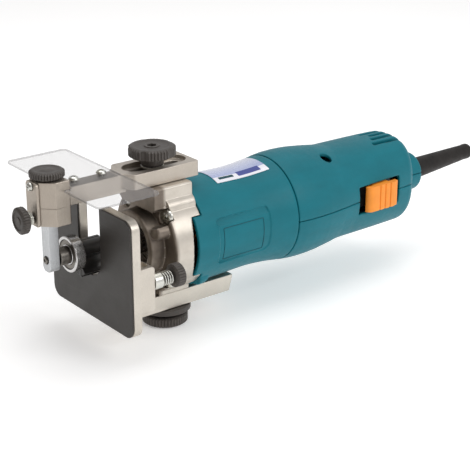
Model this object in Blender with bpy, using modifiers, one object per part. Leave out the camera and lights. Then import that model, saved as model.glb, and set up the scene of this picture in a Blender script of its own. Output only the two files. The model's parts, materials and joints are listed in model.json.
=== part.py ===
"""Hand-held edge trimmer for laminate and edge banding, as an assembly of separate parts.

The spindle axis runs along X: the cutter is at the front (low X) and the handle at the rear.
Everything hangs from empties at the spindle height. The world origin lies on the front face of
the base plate, on its vertical mid-line and below the cutter notch. Lengths are in metres.
"""
import math

import bmesh
import bpy
from mathutils import Matrix

# ---------------------------------------------------------------- driving dimensions
GAP = 0.0003                 # clearance between neighbouring pieces
AXIS_HEIGHT = 0.026          # spindle axis above the origin

PLATE_HALF_WIDTH = 0.0445
PLATE_BOTTOM = -0.040
PLATE_TOP = 0.0335
PLATE_CORNER = 0.007
PLATE_THICKNESS = 0.007      # facing and aluminium together
FACING_THICKNESS = 0.001
NOTCH_RADIUS = 0.012

ARM_HALF_WIDTH = 0.013
BASE_ARM_TOP = -0.0333
BASE_ARM_BOTTOM = -0.0442
BASE_ARM_END = 0.098
SLOT_HALF_WIDTH = 0.0034
DEPTH_SCREW_Y = -0.040
DEPTH_SCREW_Z = -0.008

NECK_FRONT = 0.0305
NECK_RADIUS = 0.0215
BARREL_FRONT = 0.040
BARREL_REAR = 0.0625
BARREL_RADIUS = 0.033
PLATFORM_TOP = 0.0387
NOSE_SCREW_RADIUS = 0.0295   # distance of the nose screws from the axis

HOUSING_FRONT = 0.063
HOUSING_TAB = 0.0565
HOUSING_RADIUS = 0.034
SEAM = 0.135
WALL = 0.0025
HANDLE_END = 0.258
BOSS_END = 0.273
BOSS_RADIUS = 0.0135
BOSS_DROP = -0.0017          # the cable boss sits a little below the axis

GUIDE_ARM_BOTTOM = 0.039
GUIDE_ARM_TOP = 0.0485
GUIDE_BAR_TOP = 0.0477
POST_FRONT = -0.0346
POST_REAR = -0.018
POST_BOTTOM = 0.028
POST_TOP = 0.0545
POST_HALF_WIDTH = 0.0118
GUIDE_CLAMP_X = 0.0465
BASE_CLAMP_X = 0.0535
FINE_KNOB_X = -0.026
SIDE_LOCK_Z = 0.0325
SLIDE_BAR_FRONT = -0.0295
SLIDE_BAR_REAR = -0.0225
GUIDE_BEARING_Z = 0.0045

BEARING_608 = {"bore": 0.004, "outer": 0.011, "width": 0.0066}
BEARING_6201 = {"bore": 0.006, "outer": 0.016, "width": 0.0094}
SHANK_RADIUS = 0.003175
CUTTER_RADIUS = 0.0104
HULL_SIDES = 32              # facets round the nose, housing and handle

# colour, roughness, metallic, alpha
FINISHES = {
    "teal_plastic": ((0.015, 0.176, 0.223), 0.45, 0.0, 1.0),
    "orange_plastic": ((0.91, 0.26, 0.045), 0.40, 0.0, 1.0),
    "cast_aluminium": ((0.61, 0.56, 0.49), 0.40, 0.9, 1.0),
    "black_facing": ((0.065, 0.060, 0.055), 0.60, 0.0, 1.0),
    "knob_plastic": ((0.085, 0.075, 0.068), 0.50, 0.0, 1.0),
    "zinc_steel": ((0.72, 0.73, 0.72), 0.25, 1.0, 1.0),
    "polished_steel": ((0.78, 0.77, 0.75), 0.18, 1.0, 1.0),
    "black_rubber": ((0.030, 0.027, 0.025), 0.65, 0.0, 1.0),
    "clear_plastic": ((0.86, 0.83, 0.84), 0.08, 0.0, 0.3),
    "label_film": ((0.70, 0.72, 0.82), 0.30, 0.0, 1.0),
    "tool_steel": ((0.020, 0.019, 0.018), 0.35, 0.6, 1.0),
    "copper": ((0.55, 0.20, 0.08), 0.35, 0.9, 1.0),
    "iron_laminations": ((0.20, 0.20, 0.21), 0.50, 0.9, 1.0),
    "black_plastic": ((0.020, 0.020, 0.020), 0.50, 0.0, 1.0),
    "brass": ((0.62, 0.46, 0.17), 0.30, 0.95, 1.0),
    "carbon": ((0.018, 0.018, 0.018), 0.80, 0.0, 1.0),
}

# ---------------------------------------------------------------- scene set-up
for existing in list(bpy.data.objects):
    bpy.data.objects.remove(existing, do_unlink=True)

parts = bpy.data.collections.new("edge_trimmer")
cutters = bpy.data.collections.new("cutters")
bpy.context.scene.collection.children.link(parts)
bpy.context.scene.collection.children.link(cutters)

AXIS_MATRIX = {
    "X": Matrix(((0, 0, 1), (1, 0, 0), (0, 1, 0))),      # drawn in (y, z), raised along +X
    "Y": Matrix(((1, 0, 0), (0, 0, -1), (0, 1, 0))),     # drawn in (x, z), raised along -Y
    "Z": Matrix.Identity(3),                             # drawn in (x, y), raised along +Z
}


def empty(name, location, parent=None):
    """A frame that pieces are placed in."""
    frame = bpy.data.objects.new(name, None)
    frame.empty_display_size = 0.01
    frame.location = location
    frame.parent = parent
    parts.objects.link(frame)
    return frame


SPINDLE_FRAME = empty("spindle_axis", (0, 0, AXIS_HEIGHT))


def add(name, mesh, location=(0, 0, 0), rotation=None):
    """A new object in the parts collection, placed from the spindle axis."""
    piece = bpy.data.objects.new(name, mesh)
    parts.objects.link(piece)
    piece.parent = SPINDLE_FRAME
    piece.location = location
    if rotation is not None:
        piece.rotation_euler = rotation
    return piece


def finish(piece, look, smooth_angle=35.0):
    """Shade a piece and give it a material of its own."""
    colour, roughness, metallic, alpha = FINISHES[look]
    material = bpy.data.materials.new(piece.name)
    material.use_nodes = True
    shader = material.node_tree.nodes["Principled BSDF"]
    shader.inputs["Base Color"].default_value = (*colour, 1.0)
    shader.inputs["Roughness"].default_value = roughness
    shader.inputs["Metallic"].default_value = metallic
    shader.inputs["Alpha"].default_value = alpha
    piece.data.materials.clear()
    piece.data.materials.append(material)
    piece.data.shade_smooth()
    piece.data.set_sharp_from_angle(angle=math.radians(smooth_angle))
    return piece


# ---------------------------------------------------------------- outlines
def rounded(corners, steps=3):
    """Outline points of a polygon whose corners (u, v, radius) are rounded by arcs."""
    points = []
    count = len(corners)
    for index, (u, v, radius) in enumerate(corners):
        if radius <= 0:
            points.append((u, v))
            continue
        before = corners[index - 1]
        after = corners[(index + 1) % count]
        to_before = (before[0] - u, before[1] - v)
        to_after = (after[0] - u, after[1] - v)
        len_before = math.hypot(*to_before)
        len_after = math.hypot(*to_after)
        one = (to_before[0] / len_before, to_before[1] / len_before)
        two = (to_after[0] / len_after, to_after[1] / len_after)
        half = math.acos(max(-1.0, min(1.0, one[0] * two[0] + one[1] * two[1]))) / 2
        reach = radius / math.tan(half)
        start = (u + one[0] * reach, v + one[1] * reach)
        end = (u + two[0] * reach, v + two[1] * reach)
        middle = (one[0] + two[0], one[1] + two[1])
        scale = radius / math.sin(half) / math.hypot(*middle)
        centre = (u + middle[0] * scale, v + middle[1] * scale)
        angle_start = math.atan2(start[1] - centre[1], start[0] - centre[0])
        sweep = math.atan2(end[1] - centre[1], end[0] - centre[0]) - angle_start
        sweep = (sweep + math.pi) % (2 * math.pi) - math.pi
        for step in range(steps + 1):
            angle = angle_start + sweep * step / steps
            points.append((centre[0] + radius * math.cos(angle), centre[1] + radius * math.sin(angle)))
    return points


def rectangle(low_u, high_u, low_v, high_v, radius=0.0):
    """Corners of a rectangle, for rounded()."""
    return [(low_u, low_v, radius), (high_u, low_v, radius), (high_u, high_v, radius), (low_u, high_v, radius)]


def toothed(radius, depth, teeth):
    """Outline of a serrated rim: flat-topped teeth with narrow grooves."""
    points = []
    pitch = 2 * math.pi / teeth
    for tooth in range(teeth):
        points.append((radius * math.cos(tooth * pitch), radius * math.sin(tooth * pitch)))
        top_end = (tooth + 0.5) * pitch
        points.append((radius * math.cos(top_end), radius * math.sin(top_end)))
        groove = (tooth + 0.75) * pitch
        points.append(((radius - depth) * math.cos(groove), (radius - depth) * math.sin(groove)))
    return points


def hexagon(across_flats):
    """Outline of a hexagon."""
    corner = across_flats / math.sqrt(3)
    return [(corner * math.cos(math.radians(60 * k)), corner * math.sin(math.radians(60 * k))) for k in range(6)]


# ---------------------------------------------------------------- solids
def box(name, low, high):
    """An upright block between two corners."""
    mesh = bpy.data.meshes.new(name)
    cage = bmesh.new()
    size = [high[k] - low[k] for k in range(3)]
    bmesh.ops.create_cube(cage, size=1.0, matrix=Matrix.Diagonal((*size, 1.0)))
    cage.to_mesh(mesh)
    cage.free()
    centre = [(high[k] + low[k]) / 2 for k in range(3)]
    return add(name, mesh, centre)


def cylinder(name, radius, low, high, axis="X", centre=(0, 0), sides=14, end_radius=None):
    """A round bar or cone from low to high along an axis; centre holds the other two coordinates."""
    mesh = bpy.data.meshes.new(name)
    cage = bmesh.new()
    last = radius if end_radius is None else end_radius
    bmesh.ops.create_cone(cage, cap_ends=True, segments=sides, radius1=radius, radius2=last, depth=high - low)
    cage.to_mesh(mesh)
    cage.free()
    middle = (low + high) / 2
    if axis == "X":
        return add(name, mesh, (middle, *centre), (0, math.radians(90), 0))
    if axis == "Y":
        return add(name, mesh, (centre[0], middle, centre[1]), (math.radians(-90), 0, 0))
    return add(name, mesh, (*centre, middle))


def prism(name, outline, low, high, axis="Z", centre=(0, 0)):
    """A flat outline given its thickness along an axis, drawn about centre in the other two."""
    curve = bpy.data.curves.new(name, "CURVE")
    curve.dimensions = "2D"
    curve.fill_mode = "BOTH"
    curve.extrude = (high - low) / 2
    spline = curve.splines.new("POLY")
    spline.points.add(len(outline) - 1)
    for point, (u, v) in zip(spline.points, outline):
        point.co = (u, v, 0, 1)
    spline.use_cyclic_u = True
    drawn = bpy.data.objects.new(name + "_outline", curve)
    cutters.objects.link(drawn)
    evaluated = drawn.evaluated_get(bpy.context.evaluated_depsgraph_get())
    mesh = bpy.data.meshes.new_from_object(evaluated)
    bpy.data.objects.remove(drawn, do_unlink=True)
    cage = bmesh.new()
    cage.from_mesh(mesh)
    bmesh.ops.remove_doubles(cage, verts=cage.verts, dist=0.00001)
    bmesh.ops.dissolve_limit(cage, angle_limit=math.radians(1), verts=cage.verts, edges=cage.edges)
    bmesh.ops.recalc_face_normals(cage, faces=cage.faces)
    cage.to_mesh(mesh)
    cage.free()
    mesh.name = name
    middle = (low + high) / 2
    places = {"X": (middle, *centre), "Y": (centre[0], middle, centre[1]), "Z": (*centre, middle)}
    return add(name, mesh, places[axis], AXIS_MATRIX[axis].to_euler())


def turned(name, profile, axis="X", centre=(0, 0), sides=20, ring=False):
    """A turned piece: profile points (along, radius), front to rear; ring closes the profile."""
    mesh = bpy.data.meshes.new(name)
    cage = bmesh.new()
    points = [cage.verts.new((radius, 0, along)) for along, radius in reversed(profile)]
    for first, second in zip(points, points[1:]):
        cage.edges.new((first, second))
    if ring:
        cage.edges.new((points[-1], points[0]))
    cage.to_mesh(mesh)
    cage.free()
    rotations = {"X": (0, math.radians(90), 0), "Y": (math.radians(-90), 0, 0), "Z": (0, 0, 0)}
    places = {"X": (0, *centre), "Y": (centre[0], 0, centre[1]), "Z": (*centre, 0)}
    piece = add(name, mesh, places[axis], rotations[axis])
    screw = piece.modifiers.new("turn", "SCREW")
    screw.axis = "Z"
    screw.steps = sides
    screw.render_steps = sides
    screw.use_merge_vertices = True
    screw.merge_threshold = 0.00001
    screw.use_smooth_shade = True
    return piece


def tube(name, low, high, outer, inner, axis="X", centre=(0, 0), sides=18):
    """A plain ring or bush."""
    profile = [(low, outer), (high, outer), (high, inner), (low, inner)]
    return turned(name, profile, axis, centre, sides, ring=True)


def ball(name, radius, place):
    """A small steel ball."""
    mesh = bpy.data.meshes.new(name)
    cage = bmesh.new()
    bmesh.ops.create_icosphere(cage, subdivisions=1, radius=radius)
    cage.to_mesh(mesh)
    cage.free()
    return add(name, mesh, place)


def soften(piece, width, segments=2, angle=40.0):
    """Round the sharp edges of a piece."""
    bevel = piece.modifiers.new("soften", "BEVEL")
    bevel.width = width
    bevel.segments = segments
    bevel.limit_method = "ANGLE"
    bevel.angle_limit = math.radians(angle)
    return piece


def combine(piece, tool, operation):
    """Cut, join or trim a piece with a tool that is then left out of the assembly."""
    parts.objects.unlink(tool)
    cutters.objects.link(tool)
    tool.hide_render = True
    tool.display_type = "WIRE"
    step = piece.modifiers.new(operation.lower(), "BOOLEAN")
    step.operation = operation
    step.object = tool
    return piece


def cut(piece, *tools):
    for tool in tools:
        combine(piece, tool, "DIFFERENCE")
    return piece


def join(piece, *tools):
    for tool in tools:
        combine(piece, tool, "UNION")
    return piece


def coil_spring(name, low, high, radius, wire, turns, centre, per_turn=8):
    """A compression spring along X as a swept round wire; centre is (y, z)."""
    curve = bpy.data.curves.new(name, "CURVE")
    curve.dimensions = "3D"
    curve.bevel_depth = wire
    curve.bevel_resolution = 1
    curve.use_fill_caps = True
    count = turns * per_turn + 1
    spline = curve.splines.new("POLY")
    spline.points.add(count - 1)
    for index, point in enumerate(spline.points):
        angle = 2 * math.pi * index / per_turn
        rise = low + wire + (high - low - 2 * wire) * index / (count - 1)
        around = (radius * math.cos(angle), radius * math.sin(angle))
        point.co = (rise, around[0] + centre[0], around[1] + centre[1], 1)
    piece = bpy.data.objects.new(name, curve)
    parts.objects.link(piece)
    piece.parent = SPINDLE_FRAME
    mesh = bpy.data.meshes.new_from_object(piece.evaluated_get(bpy.context.evaluated_depsgraph_get()))
    cage = bmesh.new()
    cage.from_mesh(mesh)
    bmesh.ops.remove_doubles(cage, verts=cage.verts, dist=0.00001)
    bmesh.ops.recalc_face_normals(cage, faces=cage.faces)
    cage.to_mesh(mesh)
    cage.free()
    bpy.data.objects.remove(piece, do_unlink=True)
    return add(name, mesh)


def pan_screw(name, x, y, z, direction, head_radius, head_height, shank_radius, shank_length, sides=9):
    """One turned screw with a domed head; direction is the way the head faces along its axis."""
    axis = direction[-1]
    sign = -1.0 if direction[0] == "-" else 1.0
    seat = {"X": x, "Y": y, "Z": z}[axis]
    centre = {"X": (y, z), "Y": (x, z), "Z": (x, y)}[axis]
    stations = [(-shank_length, 0.0), (-shank_length, shank_radius), (0.0, shank_radius), (0.0, head_radius),
                (0.55 * head_height, head_radius), (head_height, 0.6 * head_radius), (head_height, 0.0)]
    profile = [(seat + sign * along, radius) for along, radius in stations]
    if sign < 0:
        profile.reverse()
    return turned(name, profile, axis, centre, sides)


# ---------------------------------------------------------------- base: plate, arm and depth screw
def plate_outline():
    """Front view of the plate (y, z): rounded corners and the open U notch for the cutter."""
    width = PLATE_HALF_WIDTH
    notch = NOTCH_RADIUS
    return rounded([(-width, PLATE_BOTTOM, PLATE_CORNER), (width, PLATE_BOTTOM, PLATE_CORNER),
                    (width, PLATE_TOP, PLATE_CORNER), (notch, PLATE_TOP, 0.001),
                    (notch, -notch, notch * 0.999), (-notch, -notch, notch * 0.999),
                    (-notch, PLATE_TOP, 0.001), (-width, PLATE_TOP, PLATE_CORNER)], steps=5)


def make_base_bracket():
    bracket = prism("base_bracket", plate_outline(), FACING_THICKNESS + GAP, PLATE_THICKNESS, "X")
    inside = PLATE_THICKNESS - 0.001
    arm_side = [(inside, BASE_ARM_BOTTOM), (BASE_ARM_END - 0.003, BASE_ARM_BOTTOM),
                (BASE_ARM_END, BASE_ARM_TOP), (inside, BASE_ARM_TOP)]
    arm = prism("base_arm", arm_side, -ARM_HALF_WIDTH, ARM_HALF_WIDTH, "Y")
    lug_side = rounded([(inside, -0.025, 0), (0.0165, -0.025, 0.0015), (0.0165, 0.0033, 0.0015), (inside, 0.0033, 0)])
    lug = prism("base_lug", lug_side, -PLATE_HALF_WIDTH + 0.0002, -0.032, "Y")
    slot = prism("base_slot", rounded(rectangle(0.034, 0.086, -SLOT_HALF_WIDTH, SLOT_HALF_WIDTH, 0.0033), 4),
                 BASE_ARM_BOTTOM - 0.002, BASE_ARM_TOP + 0.002, "Z")
    screw_hole = cylinder("depth_hole", 0.0037, -0.001, 0.020, "X", (DEPTH_SCREW_Y, DEPTH_SCREW_Z), 20)
    join(bracket, arm, lug)
    cut(bracket, slot, screw_hole)
    return finish(bracket, "cast_aluminium")


def make_base_facing():
    facing = prism("base_facing", plate_outline(), 0.0, FACING_THICKNESS, "X")
    return finish(facing, "black_facing")


def make_depth_adjuster():
    """Bush in the lug, screw with its knurled head behind it, and the spring between them."""
    centre = (DEPTH_SCREW_Y, DEPTH_SCREW_Z)
    bush = turned("depth_bush", [(0.003, 0.0034), (0.0168, 0.0034), (0.0168, 0.005), (0.023, 0.005),
                                 (0.023, 0.0026), (0.003, 0.0026)], "X", centre, 20, ring=True)
    finish(bush, "zinc_steel")
    spring = coil_spring("depth_spring", 0.0233, 0.0308, 0.0038, 0.00055, 4, centre)
    finish(spring, "zinc_steel")
    knob = prism("depth_knob", toothed(0.0072, 0.0005, 20), 0.0311, 0.038, "X", centre)
    stem = cylinder("depth_stem", 0.0023, 0.003, 0.032, "X", centre, 16)
    join(knob, stem)
    finish(knob, "knob_plastic")


# ---------------------------------------------------------------- clamp knobs
def make_clamp_knob(name, x, rim_low, rim_high, hub_end, stud_end):
    """Serrated knob about a vertical axis with a hub and a stud pointing at the machine."""
    knob = prism(name, toothed(0.0145, 0.0006, 26), rim_low, rim_high, "Z", (x, 0))
    rim_face = rim_low if stud_end < rim_low else rim_high
    inward = 0.001 if stud_end < rim_low else -0.001
    hub = cylinder(name + "_hub", 0.0070, min(hub_end, rim_face + inward), max(hub_end, rim_face + inward),
                   "Z", (x, 0), 24)
    stud_start = (rim_low + rim_high) / 2
    stud = cylinder(name + "_stud", 0.0030, min(stud_start, stud_end), max(stud_start, stud_end), "Z", (x, 0), 16)
    outer_face = rim_high if stud_end < rim_low else rim_low
    socket = cylinder(name + "_socket", 0.0020, outer_face - 0.0022, outer_face + 0.0022, "Z", (x, 0), 12)
    join(knob, hub, stud)
    cut(knob, socket)
    return finish(knob, "knob_plastic")


def make_washer(name, x, low, high, outer):
    washer = tube(name, low, high, outer, 0.0034, "Z", (x, 0), 32)
    return finish(washer, "knob_plastic" if outer > 0.01 else "zinc_steel")


# ---------------------------------------------------------------- guide: arm, shield, post and bearing
def make_guide_arm():
    """Slotted block over the nose that narrows to a bar reaching forward to the post."""
    bar = 0.0055
    side = ARM_HALF_WIDTH
    plan = rounded([(0.072, -side, 0.0008), (0.072, side, 0.0008), (0.0255, side, 0.003), (0.0205, bar, 0.004),
                    (POST_REAR + GAP, bar, 0), (POST_REAR + GAP, -bar, 0), (0.0205, -bar, 0.004),
                    (0.0255, -side, 0.003)])
    arm = prism("guide_arm", plan, GUIDE_ARM_BOTTOM, GUIDE_ARM_TOP, "Z")
    keel = box("guide_keel", (POST_REAR + GAP, -bar, 0.0365), (0.024, bar, GUIDE_ARM_BOTTOM + 0.001))
    lowering = box("guide_lowering", (POST_REAR - 0.001, -0.007, GUIDE_BAR_TOP), (0.0198, 0.007, 0.060))
    pocket = prism("guide_pocket", rounded(rectangle(0.026, 0.0695, -0.0076, 0.0076, 0.0074), 5),
                   0.046, 0.060, "Z")
    slot = prism("guide_slot", rounded(rectangle(0.029, 0.065, -SLOT_HALF_WIDTH, SLOT_HALF_WIDTH, 0.0033), 4),
                 0.030, 0.060, "Z")
    join(arm, keel)
    cut(arm, lowering, pocket, slot)
    for index, x in enumerate((-0.0086, 0.0102)):
        cut(arm, cylinder(f"guide_screw_hole_{index}", 0.0018, 0.0405, 0.060, "Z", (x, 0), 12))
    return finish(arm, "cast_aluminium")


def make_chip_shield():
    """Clear sheet on the bar, cut out round the post."""
    inner = POST_HALF_WIDTH + 0.0006
    notch = POST_REAR + 0.0006
    plan = rounded([(-0.0225, -0.049, 0.0035), (0.019, -0.049, 0.0035), (0.019, 0.0555, 0.0035),
                    (-0.0225, 0.0555, 0.0035), (-0.0225, inner, 0.0005), (notch, inner, 0.001),
                    (notch, -inner, 0.001), (-0.0225, -inner, 0.0005)])
    shield = prism("chip_shield", plan, GUIDE_BAR_TOP + GAP, GUIDE_BAR_TOP + 0.0018, "Z")
    for index, x in enumerate((-0.0086, 0.0102)):
        cut(shield, cylinder(f"shield_hole_{index}", 0.0019, 0.040, 0.060, "Z", (x, 0), 12))
    return finish(shield, "clear_plastic")


def make_shield_screws():
    seat = GUIDE_BAR_TOP + 0.0018 + GAP
    for name, x in (("shield_screw_front", -0.0086), ("shield_screw_rear", 0.0102)):
        finish(pan_screw(name, x, 0, seat, "+Z", 0.0032, 0.0021, 0.0015, seat - 0.041), "zinc_steel")


def make_guide_post():
    """Half-octagon block with the vertical guideway of the slide bar."""
    side = POST_HALF_WIDTH
    plan = [(POST_REAR, -side), (POST_REAR, side), (POST_FRONT + 0.007, side), (POST_FRONT, 0.005),
            (POST_FRONT, -0.005), (POST_FRONT + 0.007, -side)]
    post = prism("guide_post", plan, POST_BOTTOM, POST_TOP, "Z")
    soften(post, 0.0006, 1)
    guideway = box("post_guideway", (SLIDE_BAR_FRONT - GAP, -0.0043, 0.0), (SLIDE_BAR_REAR + GAP, 0.0043, 0.0505))
    spindle_hole = cylinder("post_spindle_hole", 0.0029, 0.040, 0.060, "Z", (FINE_KNOB_X, 0), 16)
    lock_hole = cylinder("post_lock_hole", 0.0023, -0.040, -0.027, "X", (0, SIDE_LOCK_Z), 16)
    cover_hole = cylinder("post_cover_hole", 0.0014, -0.040, -0.0305, "X", (0, 0.0515), 12)
    cut(post, guideway, spindle_hole, lock_hole, cover_hole)
    return finish(post, "cast_aluminium")


def make_post_cover():
    """Narrow strip on the post's front that carries the side lock."""
    front = [(-0.006, POST_BOTTOM, 0.001), (0.006, POST_BOTTOM, 0.001), (0.006, POST_TOP, 0.0025),
             (-0.006, POST_TOP, 0.0025)]
    cover = prism("post_cover", rounded(front), POST_FRONT - 0.0022, POST_FRONT - GAP, "X")
    lock_hole = cylinder("cover_lock_hole", 0.0023, -0.040, -0.030, "X", (0, SIDE_LOCK_Z), 16)
    screw_hole = cylinder("cover_screw_hole", 0.0014, -0.040, -0.030, "X", (0, 0.0515), 12)
    cut(cover, lock_hole, screw_hole)
    finish(cover, "cast_aluminium")
    seat = POST_FRONT - 0.0022 - GAP
    screw = pan_screw("post_cover_screw", seat, 0, 0.0515, "-X", 0.0026, 0.0019, 0.0011, 0.0045)
    finish(screw, "zinc_steel")


def make_side_lock():
    """Knurled screw that presses on the slide bar, kept from turning by a spring."""
    centre = (0, SIDE_LOCK_Z)
    spring_end = POST_FRONT - 0.0022 - GAP
    spring = coil_spring("side_lock_spring", -0.0409, spring_end, 0.0034, 0.0005, 3, centre)
    finish(spring, "zinc_steel")
    knob = prism("side_lock_knob", toothed(0.008, 0.0005, 20), -0.0465, -0.0412, "X", centre)
    stem = cylinder("side_lock_stem", 0.0019, -0.042, SLIDE_BAR_FRONT - 0.0006, "X", centre, 16)
    join(knob, stem)
    finish(knob, "knob_plastic")


def make_fine_adjuster():
    """Knob on the post's top and its lead screw, two pieces that turn together."""
    knob = prism("fine_adjust_knob", toothed(0.0103, 0.0007, 26), 0.0549, 0.0597, "Z", (FINE_KNOB_X, 0))
    bore = cylinder("fine_knob_bore", 0.0023, 0.050, 0.0578, "Z", (FINE_KNOB_X, 0), 16)
    cut(knob, bore)
    finish(knob, "knob_plastic")
    screw = turned("fine_adjust_screw", [(0.022, 0.0), (0.022, 0.0024), (0.0542, 0.0024), (0.0546, 0.0019),
                                         (0.0574, 0.0019), (0.0574, 0.0)], "Z", (FINE_KNOB_X, 0), 16)
    finish(screw, "zinc_steel")


def make_slide_bar():
    side = rounded([(SLIDE_BAR_FRONT, -0.003, 0.003), (SLIDE_BAR_REAR, -0.003, 0.001),
                    (SLIDE_BAR_REAR, 0.0455, 0), (SLIDE_BAR_FRONT, 0.0455, 0)])
    bar = prism("slide_bar", side, -0.004, 0.004, "Y")
    thread = cylinder("slide_bar_thread", 0.0028, 0.0165, 0.050, "Z", (FINE_KNOB_X, 0), 16)
    pin_hole = cylinder("slide_bar_pin_hole", 0.0025, -0.035, -0.020, "X", (0, GUIDE_BEARING_Z), 16)
    cut(bar, thread, pin_hole)
    return finish(bar, "polished_steel")


def make_guide_bearing():
    """608 bearing on a shouldered pin carried by the slide bar."""
    centre = (0, GUIDE_BEARING_Z)
    front = -0.0155
    rear = front + BEARING_608["width"]
    pin = turned("bearing_pin", [(-0.0305, 0.0), (-0.0305, 0.0022), (-0.0222, 0.0022), (-0.0222, 0.0055),
                                 (front - GAP, 0.0055), (front - GAP, 0.0037), (rear, 0.0037), (rear, 0.0)],
                 "X", centre, 20)
    finish(pin, "zinc_steel")
    inner = tube("bearing_inner_ring", front, rear, 0.0062, BEARING_608["bore"], "X", centre, 22)
    finish(inner, "polished_steel")
    outer = turned("bearing_outer_ring", [(front, 0.0106), (front + 0.0004, BEARING_608["outer"]),
                                          (rear - 0.0004, BEARING_608["outer"]), (rear, 0.0106),
                                          (rear, 0.0090), (front, 0.0090)], "X", centre, 26, ring=True)
    finish(outer, "polished_steel")
    shield = tube("bearing_shield", front + 0.0005, front + 0.0009, 0.0087, 0.0065, "X", centre, 22)
    finish(shield, "zinc_steel")
    middle = (front + rear) / 2
    pitch_radius = 0.0076
    cage = tube("bearing_ball_cage", middle - 0.0005, middle + 0.0005, pitch_radius + 0.0003,
                pitch_radius - 0.0003, "X", centre, 18)
    balls = 6
    for index in range(balls):
        angle = 2 * math.pi * index / balls
        place = (middle, pitch_radius * math.cos(angle), GUIDE_BEARING_Z + pitch_radius * math.sin(angle))
        join(cage, ball(f"bearing_ball_{index}", 0.00115, place))
    finish(cage, "polished_steel")


# ---------------------------------------------------------------- nose casting
def make_nose_casting():
    """Cast nose: neck ring, round barrel, clamp platform above and pad below."""
    shell = [(NECK_FRONT, 0.0), (NECK_FRONT, NECK_RADIUS - 0.001), (NECK_FRONT + 0.001, NECK_RADIUS),
             (BARREL_FRONT, NECK_RADIUS), (BARREL_FRONT, BARREL_RADIUS - 0.0015),
             (BARREL_FRONT + 0.0015, BARREL_RADIUS), (BARREL_REAR, BARREL_RADIUS), (BARREL_REAR, 0.0)]
    casting = turned("nose_casting", shell, sides=HULL_SIDES)
    platform_plan = rounded([(0.0345, -0.019, 0.002), (BARREL_REAR, -0.019, 0.0), (BARREL_REAR, 0.019, 0.0),
                             (0.0345, 0.019, 0.002)])
    platform = prism("nose_platform", platform_plan, 0.0235, PLATFORM_TOP, "Z")
    step = box("nose_step", (0.036, -0.0225, 0.0205), (BARREL_REAR, 0.0225, 0.0335))
    pad = box("nose_pad", (BARREL_FRONT, -0.014, -0.033), (BARREL_REAR, 0.014, -0.0272))
    boss = turned("nose_boss", [(0.0300, 0.0), (0.0300, 0.0032), (0.0312, 0.0044), (0.0410, 0.0050), (0.0410, 0.0)],
                  centre=(-0.022, 0.013), sides=20)
    join(casting, platform, step, pad, boss)
    cut(casting, cylinder("nose_neck_bore", 0.0170, 0.020, 0.0370, sides=HULL_SIDES),
        cylinder("nose_spindle_bore", 0.0135, 0.030, 0.0450, sides=22),
        cylinder("nose_bearing_seat", 0.0163, 0.0420, 0.0600, sides=22),
        cylinder("nose_fan_hollow", 0.0260, 0.0535, 0.0700, sides=HULL_SIDES))
    sag = 0.0028
    half = 0.0193
    bend = (half ** 2 + sag ** 2) / (2 * sag)
    opening_front = 0.0533
    outline = [(0.070, -half), (0.070, half)]
    limit = math.asin(half / bend)
    for step_index in range(7):
        angle = limit - 2 * limit * step_index / 6
        outline.append((opening_front + bend - bend * math.cos(angle), bend * math.sin(angle)))
    for side in (-1, 1):
        window = prism(f"nose_window_{side}", outline, min(side * 0.020, side * 0.040),
                       max(side * 0.020, side * 0.040), "Y")
        cut(casting, window)
    for index, angle in enumerate((45, 135, 225, 315)):
        y = NOSE_SCREW_RADIUS * math.cos(math.radians(angle))
        z = NOSE_SCREW_RADIUS * math.sin(math.radians(angle))
        cut(casting, cylinder(f"nose_screw_seat_{index}", 0.0052, 0.030, 0.0436, centre=(y, z), sides=20))
        cut(casting, cylinder(f"nose_screw_hole_{index}", 0.0022, 0.040, 0.070, centre=(y, z), sides=12))
    cut(casting, cylinder("nose_top_stud_hole", 0.0033, 0.0245, 0.045, "Z", (GUIDE_CLAMP_X, 0), 16))
    cut(casting, cylinder("nose_base_stud_hole", 0.0033, -0.040, -0.0268, "Z", (BASE_CLAMP_X, 0), 16))
    return finish(casting, "cast_aluminium")


def make_nose_screws():
    for index, angle in enumerate((45, 135, 225, 315)):
        y = NOSE_SCREW_RADIUS * math.cos(math.radians(angle))
        z = NOSE_SCREW_RADIUS * math.sin(math.radians(angle))
        screw = pan_screw(f"nose_screw_{index + 1}", 0.0433, y, z, "-X", 0.0040, 0.0024, 0.0019, 0.0255)
        finish(screw, "zinc_steel")


# ---------------------------------------------------------------- motor housing and handle
def housing_radius(x):
    """Outer radius of the housing: a slight taper and then a flare to the seam."""
    if x < 0.103:
        return HOUSING_RADIUS - 0.0015 * (x - HOUSING_TAB) / (0.103 - HOUSING_TAB)
    share = (x - 0.103) / (SEAM - 0.103)
    return 0.0325 + 0.0027 * share ** 2


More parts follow.
